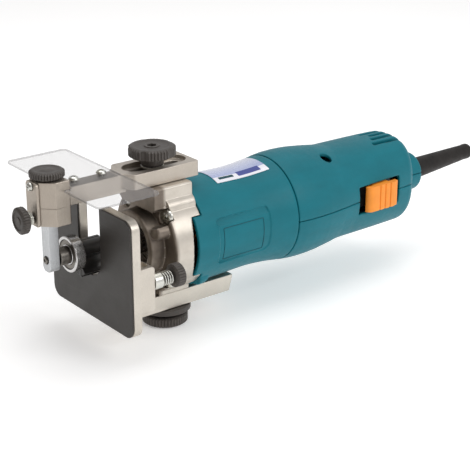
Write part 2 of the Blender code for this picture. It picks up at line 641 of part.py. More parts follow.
def make_motor_housing():
    stations = [HOUSING_TAB + 0.0005, 0.080, 0.103, 0.114, 0.125, SEAM - GAP]
    outside = [(HOUSING_TAB, HOUSING_RADIUS - 0.0006)] + [(x, housing_radius(x)) for x in stations]
    inside = [(x, housing_radius(x) - WALL) for x in reversed(stations)]
    inside.append((HOUSING_TAB, HOUSING_RADIUS - WALL))
    housing = turned("motor_housing", outside + inside, sides=HULL_SIDES, ring=True)
    for side in (-1, 1):
        y = side * 0.0189
        join(housing, turned(f"housing_boss_{side}", [(0.0633, 0.0), (0.0633, 0.0061), (0.0645, 0.0064), (0.069, 0.0058),
                                                      (0.0755, 0.0020), (0.0755, 0.0)],
                             centre=(y, -0.0232), sides=20))
        join(housing, cylinder(f"housing_upper_boss_{side}", 0.0036, 0.0633, 0.0742,
                               centre=(NOSE_SCREW_RADIUS * side * math.cos(math.radians(45)),
                                       NOSE_SCREW_RADIUS * math.sin(math.radians(45))), sides=16))
    cut(housing, cylinder("housing_clear_inside", 0.0270, 0.050, 0.0770, sides=HULL_SIDES))
    for index, (low, high) in enumerate(((0.0188, 0.050), (-0.050, -0.0188))):
        cut(housing, box(f"housing_cutback_{index}", (0.050, -0.050, low), (HOUSING_FRONT, 0.050, high)))
    cut(housing, box("housing_flat", (0.050, -0.0138, -0.050), (0.1155, 0.0138, -0.03225)))
    for side in (-1, 1):
        ring = tube(f"housing_recess_{side}", 0.0730, 0.1135, 0.040, 0.0322, sides=HULL_SIDES)
        limits = box(f"housing_recess_limits_{side}", (0.060, min(side * 0.020, side * 0.045), -0.0145),
                     (0.120, max(side * 0.020, side * 0.045), 0.0145))
        combine(ring, limits, "INTERSECT")
        cut(housing, ring)
    for index, angle in enumerate((45, 135, 225, 315)):
        y = NOSE_SCREW_RADIUS * math.cos(math.radians(angle))
        z = NOSE_SCREW_RADIUS * math.sin(math.radians(angle))
        cut(housing, cylinder(f"housing_screw_hole_{index}", 0.0022, 0.050, 0.0700, centre=(y, z), sides=12))
    return finish(housing, "teal_plastic")


def make_label():
    """Thin film along the top of the housing."""
    lift = GAP
    spread = math.radians(46)
    start = math.pi - spread / 2
    stations = [0.086, 0.103, 0.115, 0.127]
    mesh = bpy.data.meshes.new("label")
    cage = bmesh.new()
    points = []
    for x in reversed(stations):
        radius = housing_radius(x) + lift
        points.append(cage.verts.new((radius * math.cos(start), radius * math.sin(start), x)))
    for first, second in zip(points, points[1:]):
        cage.edges.new((first, second))
    cage.to_mesh(mesh)
    cage.free()
    label = add("label", mesh, (0, 0, 0), (0, math.radians(90), 0))
    sweep = label.modifiers.new("sweep", "SCREW")
    sweep.axis = "Z"
    sweep.angle = spread
    sweep.steps = 12
    sweep.render_steps = 12
    sweep.merge_threshold = 0.00001
    thickness = label.modifiers.new("thickness", "SOLIDIFY")
    thickness.thickness = 0.0003
    thickness.offset = 1.0
    return finish(label, "label_film")


HANDLE_STATIONS = ((SEAM, 0.0352), (0.150, 0.0362), (0.162, 0.0356), (0.174, 0.0341), (0.188, 0.0319),
                   (0.217, 0.0306), (0.245, 0.0288), (0.2545, 0.0250), (0.2572, 0.0205))


def handle_solid(name):
    """The whole handle as one hollow turned body, closed at the rear but for the cable bore."""
    outside = list(HANDLE_STATIONS) + [(HANDLE_END, 0.0150), (HANDLE_END, 0.0100)]
    inside = [(HANDLE_END - WALL, 0.0100), (HANDLE_END - WALL, 0.0200)]
    inside += [(x - 0.0012 if x > 0.245 else x, radius - WALL) for x, radius in reversed(HANDLE_STATIONS[:-1])]
    return turned(name, outside + inside, sides=HULL_SIDES, ring=True)


def make_handle_half(name, side):
    """Upper (side 1) or lower (side -1) handle shell."""
    half = handle_solid(name)
    boss = turned(name + "_boss", [(HANDLE_END - WALL + 0.0002, 0.0), (HANDLE_END - WALL + 0.0002, BOSS_RADIUS),
                                   (0.270, BOSS_RADIUS), (BOSS_END, BOSS_RADIUS - 0.0025), (BOSS_END, 0.0)],
                  centre=(0, BOSS_DROP), sides=32)
    posts = [cylinder(f"{name}_post_{sign}", 0.0052, min(0.0, side * 0.0265), max(0.0, side * 0.0265),
                      "Z", (0.1734, sign * 0.015), 16) for sign in (-1, 1)]
    join(half, boss, *posts)
    cut(half, cylinder(name + "_bore", 0.0079, 0.248, 0.280, centre=(0, BOSS_DROP), sides=28))
    cut(half, box(name + "_window", (0.1905, -0.040, -0.0095), (0.2300, -0.0255, 0.0095)))
    if side > 0:
        for sign in (-1, 1):
            cut(half, cylinder(f"{name}_sink_{sign}", 0.0040, 0.0105, 0.045, "Z", (0.1734, sign * 0.015), 16),
                cylinder(f"{name}_hole_{sign}", 0.0020, -0.010, 0.045, "Z", (0.1734, sign * 0.015), 12))
        for index, y in enumerate((-0.0115, -0.0058, 0.0, 0.0058, 0.0115)):
            start = 0.2265 + 0.06 * abs(y)
            cut(half, box(f"{name}_vent_{index}", (start, y - 0.0014, 0.0150), (0.262, y + 0.0014, 0.045)))
    else:
        for sign in (-1, 1):
            cut(half, cylinder(f"{name}_hole_{sign}", 0.0018, -0.014, 0.010, "Z", (0.1734, sign * 0.015), 12))
    beyond = -0.060 * side
    edge = GAP / 2 * side
    cut(half, box(name + "_split", (0.120, -0.060, min(beyond, edge)), (0.290, 0.060, max(beyond, edge))))
    return finish(half, "teal_plastic")


def make_handle_screws():
    for name, y in (("handle_screw_near", -0.015), ("handle_screw_far", 0.015)):
        screw = pan_screw(name, 0.1734, y, 0.0108, "+Z", 0.0034, 0.0022, 0.0014, 0.0215)
        finish(screw, "zinc_steel")


def make_switch():
    """Sliding button on the side of the handle and the switch block it moves."""
    inner_face = -0.0296
    stem_end = -0.0236
    plan = [(0.2178, inner_face), (0.2178, stem_end), (0.2036, stem_end), (0.2036, inner_face),
            (0.1970, inner_face), (0.1970, -0.0318), (0.1984, -0.0332)]
    rib = 0.0050
    for index in range(4):
        crest = 0.2030 + index * rib
        plan += [(crest, -0.0336), (crest + 0.0034, -0.0336), (crest + 0.0042, -0.0328)]
    plan += [(0.2240, -0.0325), (0.2240, inner_face)]
    button = prism("switch_button", plan, -0.0088, 0.0088, "Z")
    finish(button, "orange_plastic")
    body = soften(box("switch_body", (0.1925, -0.0232, -0.0080), (0.2265, -0.0020, 0.0080)), 0.0008, 1)
    finish(body, "black_plastic")


def make_bend_sleeve():
    """Tapered rubber sleeve of the cable entry, hollow, with its flange inside the handle."""
    start = 0.2495
    profile = [(start, 0.0100), (0.2525, 0.0100), (0.2530, 0.0068), (0.2740, 0.0068), (0.2742, 0.0075),
               (0.3180, 0.0056), (0.3270, 0.0053), (0.3280, 0.0048), (0.3280, 0.0038), (start, 0.0036)]
    sleeve = turned("bend_sleeve", [(x - 0.265, r) for x, r in profile], centre=(0, 0), sides=18, ring=True)
    sleeve.location = (0.265, 0, BOSS_DROP - 0.0002)
    sleeve.rotation_euler = (0, math.radians(87.4), 0)
    return finish(sleeve, "black_rubber")


# ---------------------------------------------------------------- motor
def make_spindle_and_collet():
    shaft = turned("rotor_shaft", [(0.0155, 0.0052), (0.0155, 0.0066), (0.0270, 0.0066), (0.0270, 0.0085),
                                   (0.0310, 0.0085), (0.0310, 0.0070), (0.0415, 0.0070), (0.0415, 0.0057),
                                   (0.0535, 0.0057), (0.0535, 0.0050), (0.1400, 0.0050), (0.1400, 0.0037),
                                   (0.1505, 0.0037), (0.1505, 0.0010), (0.0330, 0.0010), (0.0330, 0.0052)],
                   sides=16, ring=True)
    finish(shaft, "polished_steel")
    nut = prism("collet_nut", hexagon(0.019), 0.0110, 0.0266, "X")
    trim = cylinder("collet_nut_trim", 0.0104, 0.0105, 0.0270, sides=28)
    combine(nut, trim, "INTERSECT")
    cut(nut, cylinder("collet_nut_bore", 0.0070, 0.0148, 0.030, sides=24),
        cylinder("collet_nut_mouth", 0.0050, 0.005, 0.030, sides=24))
    finish(nut, "zinc_steel")
    collet = tube("collet", 0.0100, 0.0320, 0.0047, SHANK_RADIUS + GAP, sides=24)
    finish(collet, "polished_steel")


def make_cutter():
    """Two-flute trimming bit with brazed tips."""
    cutter = cylinder("cutter_bit", CUTTER_RADIUS, -0.0082, 0.0080, sides=26)
    for side in (-1, 1):
        cut(cutter, cylinder(f"cutter_gullet_{side}", 0.0070, -0.010, 0.010, centre=(side * 0.0112, side * 0.0015),
                             sides=24))
    for side in (-1, 1):
        low_y, high_y = sorted((side * 0.0012, side * 0.0036))
        low_z, high_z = sorted((side * 0.0050, side * 0.0106))
        join(cutter, box(f"cutter_tip_{side}", (-0.0084, low_y, low_z), (0.0080, high_y, high_z)))
    join(cutter, cylinder("cutter_shank", SHANK_RADIUS, 0.0070, 0.0310, sides=20))
    return finish(cutter, "tool_steel")


def make_fan():
    blades = 11
    outline = []
    for index in range(blades):
        root = 2 * math.pi * index / blades
        spread = 0.0009
        for radius, offset in ((0.0085, -spread), (0.0240, -spread), (0.0240, spread), (0.0085, spread)):
            angle = root + offset / radius
            outline.append((radius * math.cos(angle), radius * math.sin(angle)))
    fan = prism("cooling_fan", outline, 0.0570, 0.0640, "X")
    join(fan, cylinder("fan_disc", 0.0245, 0.0550, 0.0574, sides=26))
    cut(fan, cylinder("fan_bore", 0.0053, 0.050, 0.070, sides=20))
    return finish(fan, "black_plastic")


def make_armature():
    slots = 12
    outline = []
    pitch = 2 * math.pi / slots
    for index in range(slots):
        for share, radius in ((0.12, 0.0178), (0.47, 0.0180), (0.82, 0.0178), (0.82, 0.0142), (1.12, 0.0142)):
            angle = (index + share) * pitch
            outline.append((radius * math.cos(angle), radius * math.sin(angle)))
    core = prism("armature_core", outline, 0.0780, 0.1110, "X")
    cut(core, cylinder("armature_bore", 0.0053, 0.070, 0.120, sides=20))
    finish(core, "iron_laminations")
    front_bundle = [(0.0690, 0.0110), (0.0730, 0.0160), (0.0777, 0.0160), (0.0777, 0.0060), (0.0690, 0.0060)]
    rear_bundle = [(0.1113, 0.0160), (0.1150, 0.0160), (0.1190, 0.0110), (0.1190, 0.0060), (0.1113, 0.0060)]
    windings = turned("armature_windings", front_bundle, sides=18, ring=True)
    join(windings, turned("armature_rear_bundle", rear_bundle, sides=18, ring=True))
    for index in range(0, slots, 2):
        bar = box(f"armature_slot_bar_{index}", (0.0770, 0.0146, -0.0007), (0.1120, 0.0158, 0.0007))
        angle = (index + 0.97) * pitch
        bar.location = (0.0945, 0.0152 * math.cos(angle), 0.0152 * math.sin(angle))
        bar.rotation_euler = (angle, 0, 0)
        join(windings, bar)
    finish(windings, "copper")
    commutator = prism("commutator", toothed(0.0108, 0.0005, 18), 0.1220, 0.1370, "X")
    cut(commutator, cylinder("commutator_bore", 0.0053, 0.110, 0.145, sides=20))
    finish(commutator, "copper")


def make_stator():
    core = cylinder("stator_core", 0.0292, 0.0780, 0.1110, sides=30)
    cut(core, cylinder("stator_bore", 0.0188, 0.070, 0.120, sides=26),
        box("stator_windows", (0.070, -0.0248, -0.0110), (0.120, 0.0248, 0.0110)))
    finish(core, "iron_laminations")
    for name, side in (("field_coil_upper", 1), ("field_coil_lower", -1)):
        coil = tube(name, 0.0705, 0.0777, 0.0262, 0.0197, sides=22)
        join(coil, tube(name + "_rear", 0.1113, 0.1185, 0.0262, 0.0197, sides=22))
        low_z, high_z = sorted((side * 0.0030, side * -0.0400))
        cut(coil, box(name + "_split", (0.060, -0.040, low_z), (0.130, 0.040, high_z)))
        for sign in (-1, 1):
            low_y, high_y = sorted((sign * 0.0200, sign * 0.0244))
            low, high = sorted((side * 0.0031, side * 0.0104))
            join(coil, box(f"{name}_side_{sign}", (0.0710, low_y, low), (0.1180, high_y, high)))
        finish(coil, "copper")


def make_brush_gear():
    for place, sign in (("near", -1), ("far", 1)):
        low_y, high_y = sorted((sign * 0.0126, sign * 0.0285))
        holder = box(f"brush_holder_{place}", (0.1255, low_y, -0.0042), (0.1335, high_y, 0.0042))
        cut(holder, box(f"brush_channel_{place}", (0.1265, -0.040, -0.0032), (0.1325, 0.040, 0.0032)))
        finish(holder, "brass")
        low_y, high_y = sorted((sign * 0.0112, sign * 0.0205))
        brush = box(f"carbon_brush_{place}", (0.1268, low_y, -0.0029), (0.1322, high_y, 0.0029))
        finish(brush, "carbon")


def make_bearings():
    front = tube("spindle_bearing", 0.0423, 0.0423 + BEARING_6201["width"], BEARING_6201["outer"],
                 BEARING_6201["bore"], sides=22)
    finish(front, "polished_steel")
    rear = tube("rear_bearing", 0.1415, 0.1415 + BEARING_608["width"], BEARING_608["outer"],
                BEARING_608["bore"], sides=32)
    finish(rear, "polished_steel")
    profile = [(0.1383, 0.0320), (0.1405, 0.0320), (0.1405, 0.0135), (0.1495, 0.0135), (0.1495, 0.0060),
               (0.1485, 0.0060), (0.1485, 0.0113), (0.1383, 0.0113)]
    bracket = turned("bearing_bracket", profile, sides=20, ring=True)
    for index in range(4):
        angle = math.radians(90 * index + 45)
        centre = (0.0225 * math.cos(angle), 0.0225 * math.sin(angle))
        cut(bracket, cylinder(f"bracket_vent_{index}", 0.0055, 0.130, 0.145, centre=centre, sides=9))
    finish(bracket, "black_plastic")


def make_handle_electrics():
    capacitor = soften(cylinder("capacitor", 0.0070, 0.1960, 0.2180, centre=(0.0120, 0.0), sides=24), 0.0008, 1)
    finish(capacitor, "black_plastic")
    clamp = box("cable_clamp", (0.2400, -0.0095, 0.0020), (0.2470, 0.0095, 0.0055))
    finish(clamp, "black_plastic")


def build():
    make_base_bracket()
    make_base_facing()
    make_depth_adjuster()
    make_clamp_knob("base_clamp_knob", BASE_CLAMP_X, -0.0575, -0.0508, -0.0485, -0.0275)
    make_washer("base_clamp_washer", BASE_CLAMP_X, -0.0482, -0.0445, 0.0165)
    make_clamp_knob("guide_clamp_knob", GUIDE_CLAMP_X, 0.0533, 0.0600, 0.0481, 0.0260)
    make_washer("guide_clamp_washer", GUIDE_CLAMP_X, 0.0463, 0.0477, 0.0070)
    make_guide_arm()
    make_chip_shield()
    make_shield_screws()
    make_guide_post()
    make_post_cover()
    make_side_lock()
    make_fine_adjuster()
    make_slide_bar()
    make_guide_bearing()
    make_nose_casting()
    make_nose_screws()
    make_motor_housing()
    make_label()
    make_handle_half("handle_upper", 1)
    make_handle_half("handle_lower", -1)
    make_handle_screws()
    make_switch()
    make_bend_sleeve()
    make_spindle_and_collet()
    make_cutter()
    make_fan()
    make_armature()
    make_stator()
    make_brush_gear()
    make_bearings()
    make_handle_electrics()


build()
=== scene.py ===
import json
from math import acos, asin, atan2, cos, hypot, pi, radians, sin, sqrt, tan

import bmesh
import bpy
from mathutils import Matrix, Vector


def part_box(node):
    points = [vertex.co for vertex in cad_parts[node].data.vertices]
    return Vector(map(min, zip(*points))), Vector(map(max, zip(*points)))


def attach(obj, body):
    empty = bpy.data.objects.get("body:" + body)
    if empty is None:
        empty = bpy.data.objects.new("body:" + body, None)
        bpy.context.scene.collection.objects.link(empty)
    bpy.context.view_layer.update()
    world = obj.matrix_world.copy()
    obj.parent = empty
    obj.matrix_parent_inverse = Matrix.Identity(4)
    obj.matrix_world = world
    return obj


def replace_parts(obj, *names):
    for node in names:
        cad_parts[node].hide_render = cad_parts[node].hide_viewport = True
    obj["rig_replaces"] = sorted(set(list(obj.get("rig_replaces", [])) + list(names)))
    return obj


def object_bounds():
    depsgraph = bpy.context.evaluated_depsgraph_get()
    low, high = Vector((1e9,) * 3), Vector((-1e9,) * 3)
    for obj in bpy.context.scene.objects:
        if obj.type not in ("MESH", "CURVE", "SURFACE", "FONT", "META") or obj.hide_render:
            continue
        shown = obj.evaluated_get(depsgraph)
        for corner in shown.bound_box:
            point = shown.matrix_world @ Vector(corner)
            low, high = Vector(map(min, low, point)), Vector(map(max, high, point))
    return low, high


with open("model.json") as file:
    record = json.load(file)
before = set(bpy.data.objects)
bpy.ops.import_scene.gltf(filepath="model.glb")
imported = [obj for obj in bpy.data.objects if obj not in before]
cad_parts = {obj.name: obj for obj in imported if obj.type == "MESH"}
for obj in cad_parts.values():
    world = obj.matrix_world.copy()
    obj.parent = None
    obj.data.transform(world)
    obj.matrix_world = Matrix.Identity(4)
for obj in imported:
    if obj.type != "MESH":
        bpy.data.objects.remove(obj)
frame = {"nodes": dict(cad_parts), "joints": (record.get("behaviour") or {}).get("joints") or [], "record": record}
cad_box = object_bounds()

# Looks of a hand-held edge trimmer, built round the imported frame. Shapes are drawn about the spindle's
# axis (X along the spindle towards the cable, Z up) and lifted to the shared frame when finished.
# Lengths are in metres.
RECORD = frame["record"]
BODY_OF = {n: body for body, nodes in RECORD["behaviour"]["bodies"].items() for n in nodes}
SLOT_OF = {s["node"]: s["material_slot"] for s in RECORD["subparts"]}
SPINDLE_HEIGHT = frame["joints"][0]["pos_m"][2]
LIFT = Matrix.Translation((0, 0, SPINDLE_HEIGHT))
GAP = 0.0003  # clearance between neighbouring pieces
NO_LENGTH = 1e-7
SMOOTH = 180.0  # no edge of a moulded or cast piece is sharp
SHOWN = []


def span(node, axis):
    """Lowest and highest value of a CAD node along an axis, in the spindle's frame."""
    low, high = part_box(node)
    index = "XYZ".index(axis)
    drop = SPINDLE_HEIGHT if axis == "Z" else 0.0
    return low[index] - drop, high[index] - drop


def middle(node, axis):
    low, high = span(node, axis)
    return (low + high) / 2


# ---- outlines
def rounded(corners, steps=6):
    """Outline points of a polygon whose corners (u, v, radius) are rounded by arcs."""
    points = []
    for index, (u, v, radius) in enumerate(corners):
        if radius <= 0:
            points.append((u, v))
            continue
        here = Vector((u, v))
        one = (Vector(corners[index - 1][:2]) - here).normalized()
        two = (Vector(corners[(index + 1) % len(corners)][:2]) - here).normalized()
        half = acos(max(-1.0, min(1.0, one.dot(two)))) / 2
        reach = radius / tan(half)
        centre = here + (one + two).normalized() * radius / sin(half)
        start = here + one * reach - centre
        end = here + two * reach - centre
        first = atan2(start.y, start.x)
        sweep = (atan2(end.y, end.x) - first + pi) % (2 * pi) - pi
        for step in range(steps + 1):
            angle = first + sweep * step / steps
            points.append((centre.x + radius * cos(angle), centre.y + radius * sin(angle)))
    return points


def rectangle(low_u, high_u, low_v, high_v, radius=0.0, steps=6):
    return rounded([(low_u, low_v, radius), (high_u, low_v, radius), (high_u, high_v, radius),
                    (low_u, high_v, radius)], steps)


def around(radius, degrees):
    return radius * cos(radians(degrees)), radius * sin(radians(degrees))


# ---- solids
def put(u, v, along, axis, centre):
    """A point drawn at (u, v) about centre, at a place along the axis."""
    a, b = u + centre[0], v + centre[1]
    return {"X": (along, a, b), "Y": (a, along, b), "Z": (a, b, along)}[axis]


def placed(name, data):
    """A new object in the scene, holding the data."""
    thing = bpy.data.objects.new(name, data)
    bpy.context.scene.collection.objects.link(thing)
    return thing


def made(cage, name="tool"):
    """A mesh object from a bmesh, facing outwards."""
    bmesh.ops.remove_doubles(cage, verts=cage.verts, dist=NO_LENGTH)
    bmesh.ops.recalc_face_normals(cage, faces=cage.faces)
    mesh = bpy.data.meshes.new(name)
    cage.to_mesh(mesh)
    cage.free()
    return placed(name, mesh)


def prism(outline, low, high, axis="Z", centre=(0, 0)):
    """A flat outline given its thickness along an axis."""
    cage = bmesh.new()
    ends = [[cage.verts.new(put(u, v, along, axis, centre)) for u, v in outline] for along in (low, high)]
    for end in ends:
        cage.faces.new(end)
    count = len(outline)
    for k in range(count):
        cage.faces.new((ends[0][k], ends[0][(k + 1) % count], ends[1][(k + 1) % count], ends[1][k]))
    return made(cage)


def block(low, high):
    """An upright block between two corners."""
    return prism(rectangle(low[0], high[0], low[1], high[1]), low[2], high[2])


def lathe(profile, axis="X", centre=(0, 0), sides=96, ring=False, wave=None):
    """A turned piece: (along, radius) or (along, radius, share of the wave's depth) down its profile."""
    cage = bmesh.new()
    rings = []
    for along, radius, *share in profile:
        if radius < NO_LENGTH:
            rings.append([cage.verts.new(put(0, 0, along, axis, centre))])
            continue
        loop = []
        for k in range(sides):
            angle = 2 * pi * k / sides
            reach = radius - (share[0] * wave(angle) if share and wave else 0.0)
            place = put(reach * cos(angle), reach * sin(angle), along, axis, centre)
            loop.append(cage.verts.new(place))
        rings.append(loop)
    pairs = list(zip(rings, rings[1:]))
    if ring:
        pairs.append((rings[-1], rings[0]))
    for one, two in pairs:
        for k in range(sides):
            after = k + 1
            corners = (one[k % len(one)], one[after % len(one)], two[after % len(two)], two[k % len(two)])
            corners = list(dict.fromkeys(corners))
            if len(corners) > 2:
                cage.faces.new(corners)
    return made(cage)


def rod(radius, low, high, axis="X", centre=(0, 0), sides=48):
    return lathe([(low, 0), (low, radius), (high, radius), (high, 0)], axis, centre, sides)


def round_rod(radius, low, high, fillet, axis="X", centre=(0, 0), sides=64):
    """A round bar whose two end edges are rounded."""
    profile = rounded([(low, 0, 0), (low, radius, fillet), (high, radius, fillet), (high, 0, 0)])
    return lathe(profile, axis, centre, sides)


def tube(low, high, outer, inner, fillet, axis="X", centre=(0, 0), sides=96):
    """A ring with rounded edges."""
    profile = rounded([(low, outer, fillet), (high, outer, fillet), (high, inner, fillet),
                       (low, inner, fillet)], 3)
    return lathe(profile, axis, centre, sides, ring=True)


def evaluated(piece):
    """A mesh of the piece as its modifiers, or its curve's thickness, make it."""
    bpy.context.view_layer.update()
    graph = bpy.context.evaluated_depsgraph_get()
    return bpy.data.meshes.new_from_object(piece.evaluated_get(graph))


def settle(piece, used=()):
    """Bakes the modifiers into the mesh and drops the tools."""
    mesh = evaluated(piece)
    piece.modifiers.clear()
    piece.data = mesh
    for tool in used:
        bpy.data.objects.remove(tool, do_unlink=True)
    return piece


def boolean(piece, operation, tools):
    for tool in tools:
        step = piece.modifiers.new(operation, "BOOLEAN")
        step.operation = operation
        step.solver = "MANIFOLD"
        step.object = tool
    return settle(piece, tools)


def cut(piece, *tools):
    return boolean(piece, "DIFFERENCE", tools)


def join(piece, *tools):
    return boolean(piece, "UNION", tools)


def edge(piece, width=0.0004, segments=3, angle=30.0):
    """Rounds the sharp edges of a flat-sided piece."""
    bevel = piece.modifiers.new("edge", "BEVEL")
    bevel.width = width
    bevel.segments = segments
    bevel.limit_method = "ANGLE"
    bevel.angle_limit = radians(angle)
    bevel.use_clamp_overlap = False
    return settle(piece)


def cast(piece, voxel, rounds, most=75000):
    """Blends a moulded or cast shape: all its edges and corners become small fillets.

    Flat areas are thinned afterwards, so that no piece holds more than about twice `most` triangles."""
    grid = piece.modifiers.new("grid", "REMESH")
    grid.mode = "VOXEL"
    grid.voxel_size = voxel
    ease = piece.modifiers.new("ease", "SMOOTH")
    ease.factor = 0.5
    ease.iterations = rounds
    settle(piece)
    count = len(piece.data.polygons)
    if count > most:
        thin = piece.modifiers.new("thin", "DECIMATE")
        thin.ratio = most / count
        settle(piece)
    return piece


def wire(points, radius, cyclic=False, resolution=4):
    """A round wire along points, as a closed mesh."""
    curve = bpy.data.curves.new("wire", "CURVE")
    curve.dimensions = "3D"
    curve.bevel_depth = radius
    curve.bevel_resolution = resolution
    curve.use_fill_caps = True
    spline = curve.splines.new("POLY")
    spline.points.add(len(points) - 1)
    for point, place in zip(spline.points, points):
        point.co = (*place, 1)
    spline.use_cyclic_u = cyclic
    drawn = placed("wire_curve", curve)
    mesh = evaluated(drawn)
    bpy.data.objects.remove(drawn, do_unlink=True)
    cage = bmesh.new()
    cage.from_mesh(mesh)
    return made(cage)


def show(piece, node, detail=None, sharp=50.0, look=None):
    """Finishes a piece: lifts it, shades it, gives it its material and lets it ride with its CAD node.

    It stands for that node, unless it is a named detail that is drawn on another piece."""
    name = detail or node + "_look"
    piece.name = name
    piece.data.name = name
    piece.data.transform(LIFT)
    slot = SLOT_OF[node]
    piece.data.materials.clear()
    piece.data.materials.append(look or LOOKS[slot])
    piece.data.shade_smooth()
    piece.data.set_sharp_from_angle(angle=radians(sharp))
    even = piece.modifiers.new("even_normals", "WEIGHTED_NORMAL")
    even.keep_sharp = True
    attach(piece, BODY_OF[node])
    if not detail:
        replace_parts(piece, node)
    SHOWN.append(piece)


# ---- materials
class Shade:
    """One material, with short ways to add nodes to it. Textures sit in object space, in metres."""

    def __init__(self, name):
        self.material = bpy.data.materials.new(name)
        self.material.use_nodes = True
        self.tree = self.material.node_tree
        self.shader = self.tree.nodes["Principled BSDF"]
        self.place = self.add("ShaderNodeTexCoord").outputs["Object"]

    def add(self, kind, settings=None, **sockets):
        node = self.tree.nodes.new(kind)
        for key, value in (settings or {}).items():
            setattr(node, key, value)
        for key, value in sockets.items():
            self.feed(node.inputs[key.replace("_", " ")], value)
        return node

    def feed(self, socket, value):
        if isinstance(value, bpy.types.NodeSocket):
            self.tree.links.new(value, socket)
        else:
            socket.default_value = (*value, 1.0) if socket.type == "RGBA" else value

    def stretched(self, stretch):
        return self.add("ShaderNodeMapping", Vector=self.place, Scale=stretch).outputs["Vector"]

    def noise(self, scale, detail=4.0, stretch=(1, 1, 1)):
        texture = self.add("ShaderNodeTexNoise", Vector=self.stretched(stretch), Scale=scale, Detail=detail,
                           Roughness=0.6)
        return texture.outputs["Fac"]

    def cloud(self, scale, detail, stretch=(1, 1, 1)):
        """Noise spread over the whole range from 0 to 1."""
        return self.rescale(self.noise(scale, detail, stretch), 0.0, 1.0)

    def bands(self, scale, axis="X", wobble=0.0):
        texture = self.add("ShaderNodeTexWave", {"bands_direction": axis}, Vector=self.place, Scale=scale,
                           Distortion=wobble, Detail=2.0)
        return texture.outputs["Fac"]

    def rescale(self, value, low, high, start=0.3, end=0.7):
        scaled = self.add("ShaderNodeMapRange", Value=value, From_Min=start, From_Max=end, To_Min=low,
                          To_Max=high)
        return scaled.outputs["Result"]

    def blend(self, share, one, two):
        mixer = self.add("ShaderNodeMix", {"data_type": "RGBA"})
        self.feed(mixer.inputs[0], share)
        self.feed(mixer.inputs[6], one)
        self.feed(mixer.inputs[7], two)
        return mixer.outputs[2]

    def painted_edge_highlight(self, share=0.5):
        """Painted highlight on convex edges, from the mesh's own curvature."""
        edges = self.add("ShaderNodeNewGeometry").outputs["Pointiness"]
        return self.rescale(edges, 0.0, share, 0.52, 0.60)

    def bump(self, height, distance, normal=None):
        relief = self.add("ShaderNodeBump", Height=height, Distance=distance, Strength=1.0)
        if normal is not None:
            self.feed(relief.inputs["Normal"], normal)
        return relief.outputs["Normal"]

    def finish(self, base, gloss, relief=None, **sockets):
        sockets.update(Base_Color=base, Roughness=gloss)
        if relief is not None:
            sockets["Normal"] = relief
        for key, value in sockets.items():
            self.feed(self.shader.inputs[key.replace("_", " ")], value)
        return self.material


def tone(colour, factor):
    return tuple(channel * factor for channel in colour)


def moulded(name, colour, roughness, grain=0.000012, mottle=0.08, edge_light=1.35, gleam=0.38):
    """Injection-moulded plastic: spark-eroded grain, faint flow marks and a painted highlight on its convex edges.
    """
    s = Shade(name)
    flow = s.cloud(38, 3.0, (1, 2.2, 2.2))
    body = s.blend(flow, tone(colour, 1 - mottle), tone(colour, 1 + mottle))
    # painted highlight: convex edges are lightened to edge_light times the colour
    base = s.blend(s.painted_edge_highlight(0.35), body, tone(colour, edge_light))
    gloss = s.rescale(s.noise(420, 5.0), roughness - 0.05, roughness + 0.07)
    relief = s.bump(s.noise(4200, 2.0), grain)
    relief = s.bump(s.noise(900, 3.0), grain * 0.8, relief)
    return s.finish(base, gloss, relief, Specular_IOR_Level=gleam)


def metal(name, colour, roughness, stretch=(1, 1, 1), scale=2600, depth=0.000006, metallic=1.0, mottle=0.07,
          stain=None, stain_share=0.0):
    """Metal with fine lines along the stretch, cloudy tone and a painted highlight on its convex edges."""
    s = Shade(name)
    cloud = s.cloud(70, 4.0)
    body = s.blend(cloud, tone(colour, 1 - mottle), tone(colour, 1 + mottle))
    lines = s.noise(scale, 3.0, stretch)
    body = s.blend(s.rescale(lines, 0.0, 0.35), body, tone(colour, 0.72))
    if stain:
        body = s.blend(s.rescale(s.noise(160, 6.0), 0.0, stain_share, 0.48, 0.72), body, stain)
    # painted highlight: convex edges are lightened to 1.22 times the colour
    base = s.blend(s.painted_edge_highlight(0.5), body, tone(colour, 1.22))
    gloss = s.rescale(lines, roughness - 0.06, roughness + 0.10)
    return s.finish(base, gloss, s.bump(lines, depth), Metallic=metallic)


def facing_look():
    """Dark laminate facing with a fine pebble and long rub marks."""
    s = Shade("black_facing")
    dark = (0.040, 0.036, 0.032)
    speckle = s.rescale(s.noise(5200, 2.0), 0.0, 1.0, 0.40, 0.62)
    body = s.blend(speckle, tone(dark, 0.88), tone(dark, 1.25))
    rub = s.rescale(s.noise(240, 5.0, (1, 0.10, 2.4)), 0.0, 0.30, 0.58, 0.74)
    base = s.blend(rub, body, tone(dark, 2.0))
    gloss = s.rescale(s.noise(60, 4.0), 0.34, 0.47)
    return s.finish(base, gloss, s.bump(s.noise(5200, 2.0), 0.000008),
                    Specular_IOR_Level=0.3)


def rubber_look():
    s = Shade("black_rubber")
    dark = (0.012, 0.010, 0.009)
    bloom = s.cloud(110, 5.0)
    base = s.blend(bloom, tone(dark, 0.8), tone(dark, 1.7))
    gloss = s.rescale(s.noise(300, 4.0), 0.42, 0.60)
    relief = s.bump(s.noise(2600, 3.0), 0.000014)
    return s.finish(base, gloss, relief, Specular_IOR_Level=0.25)


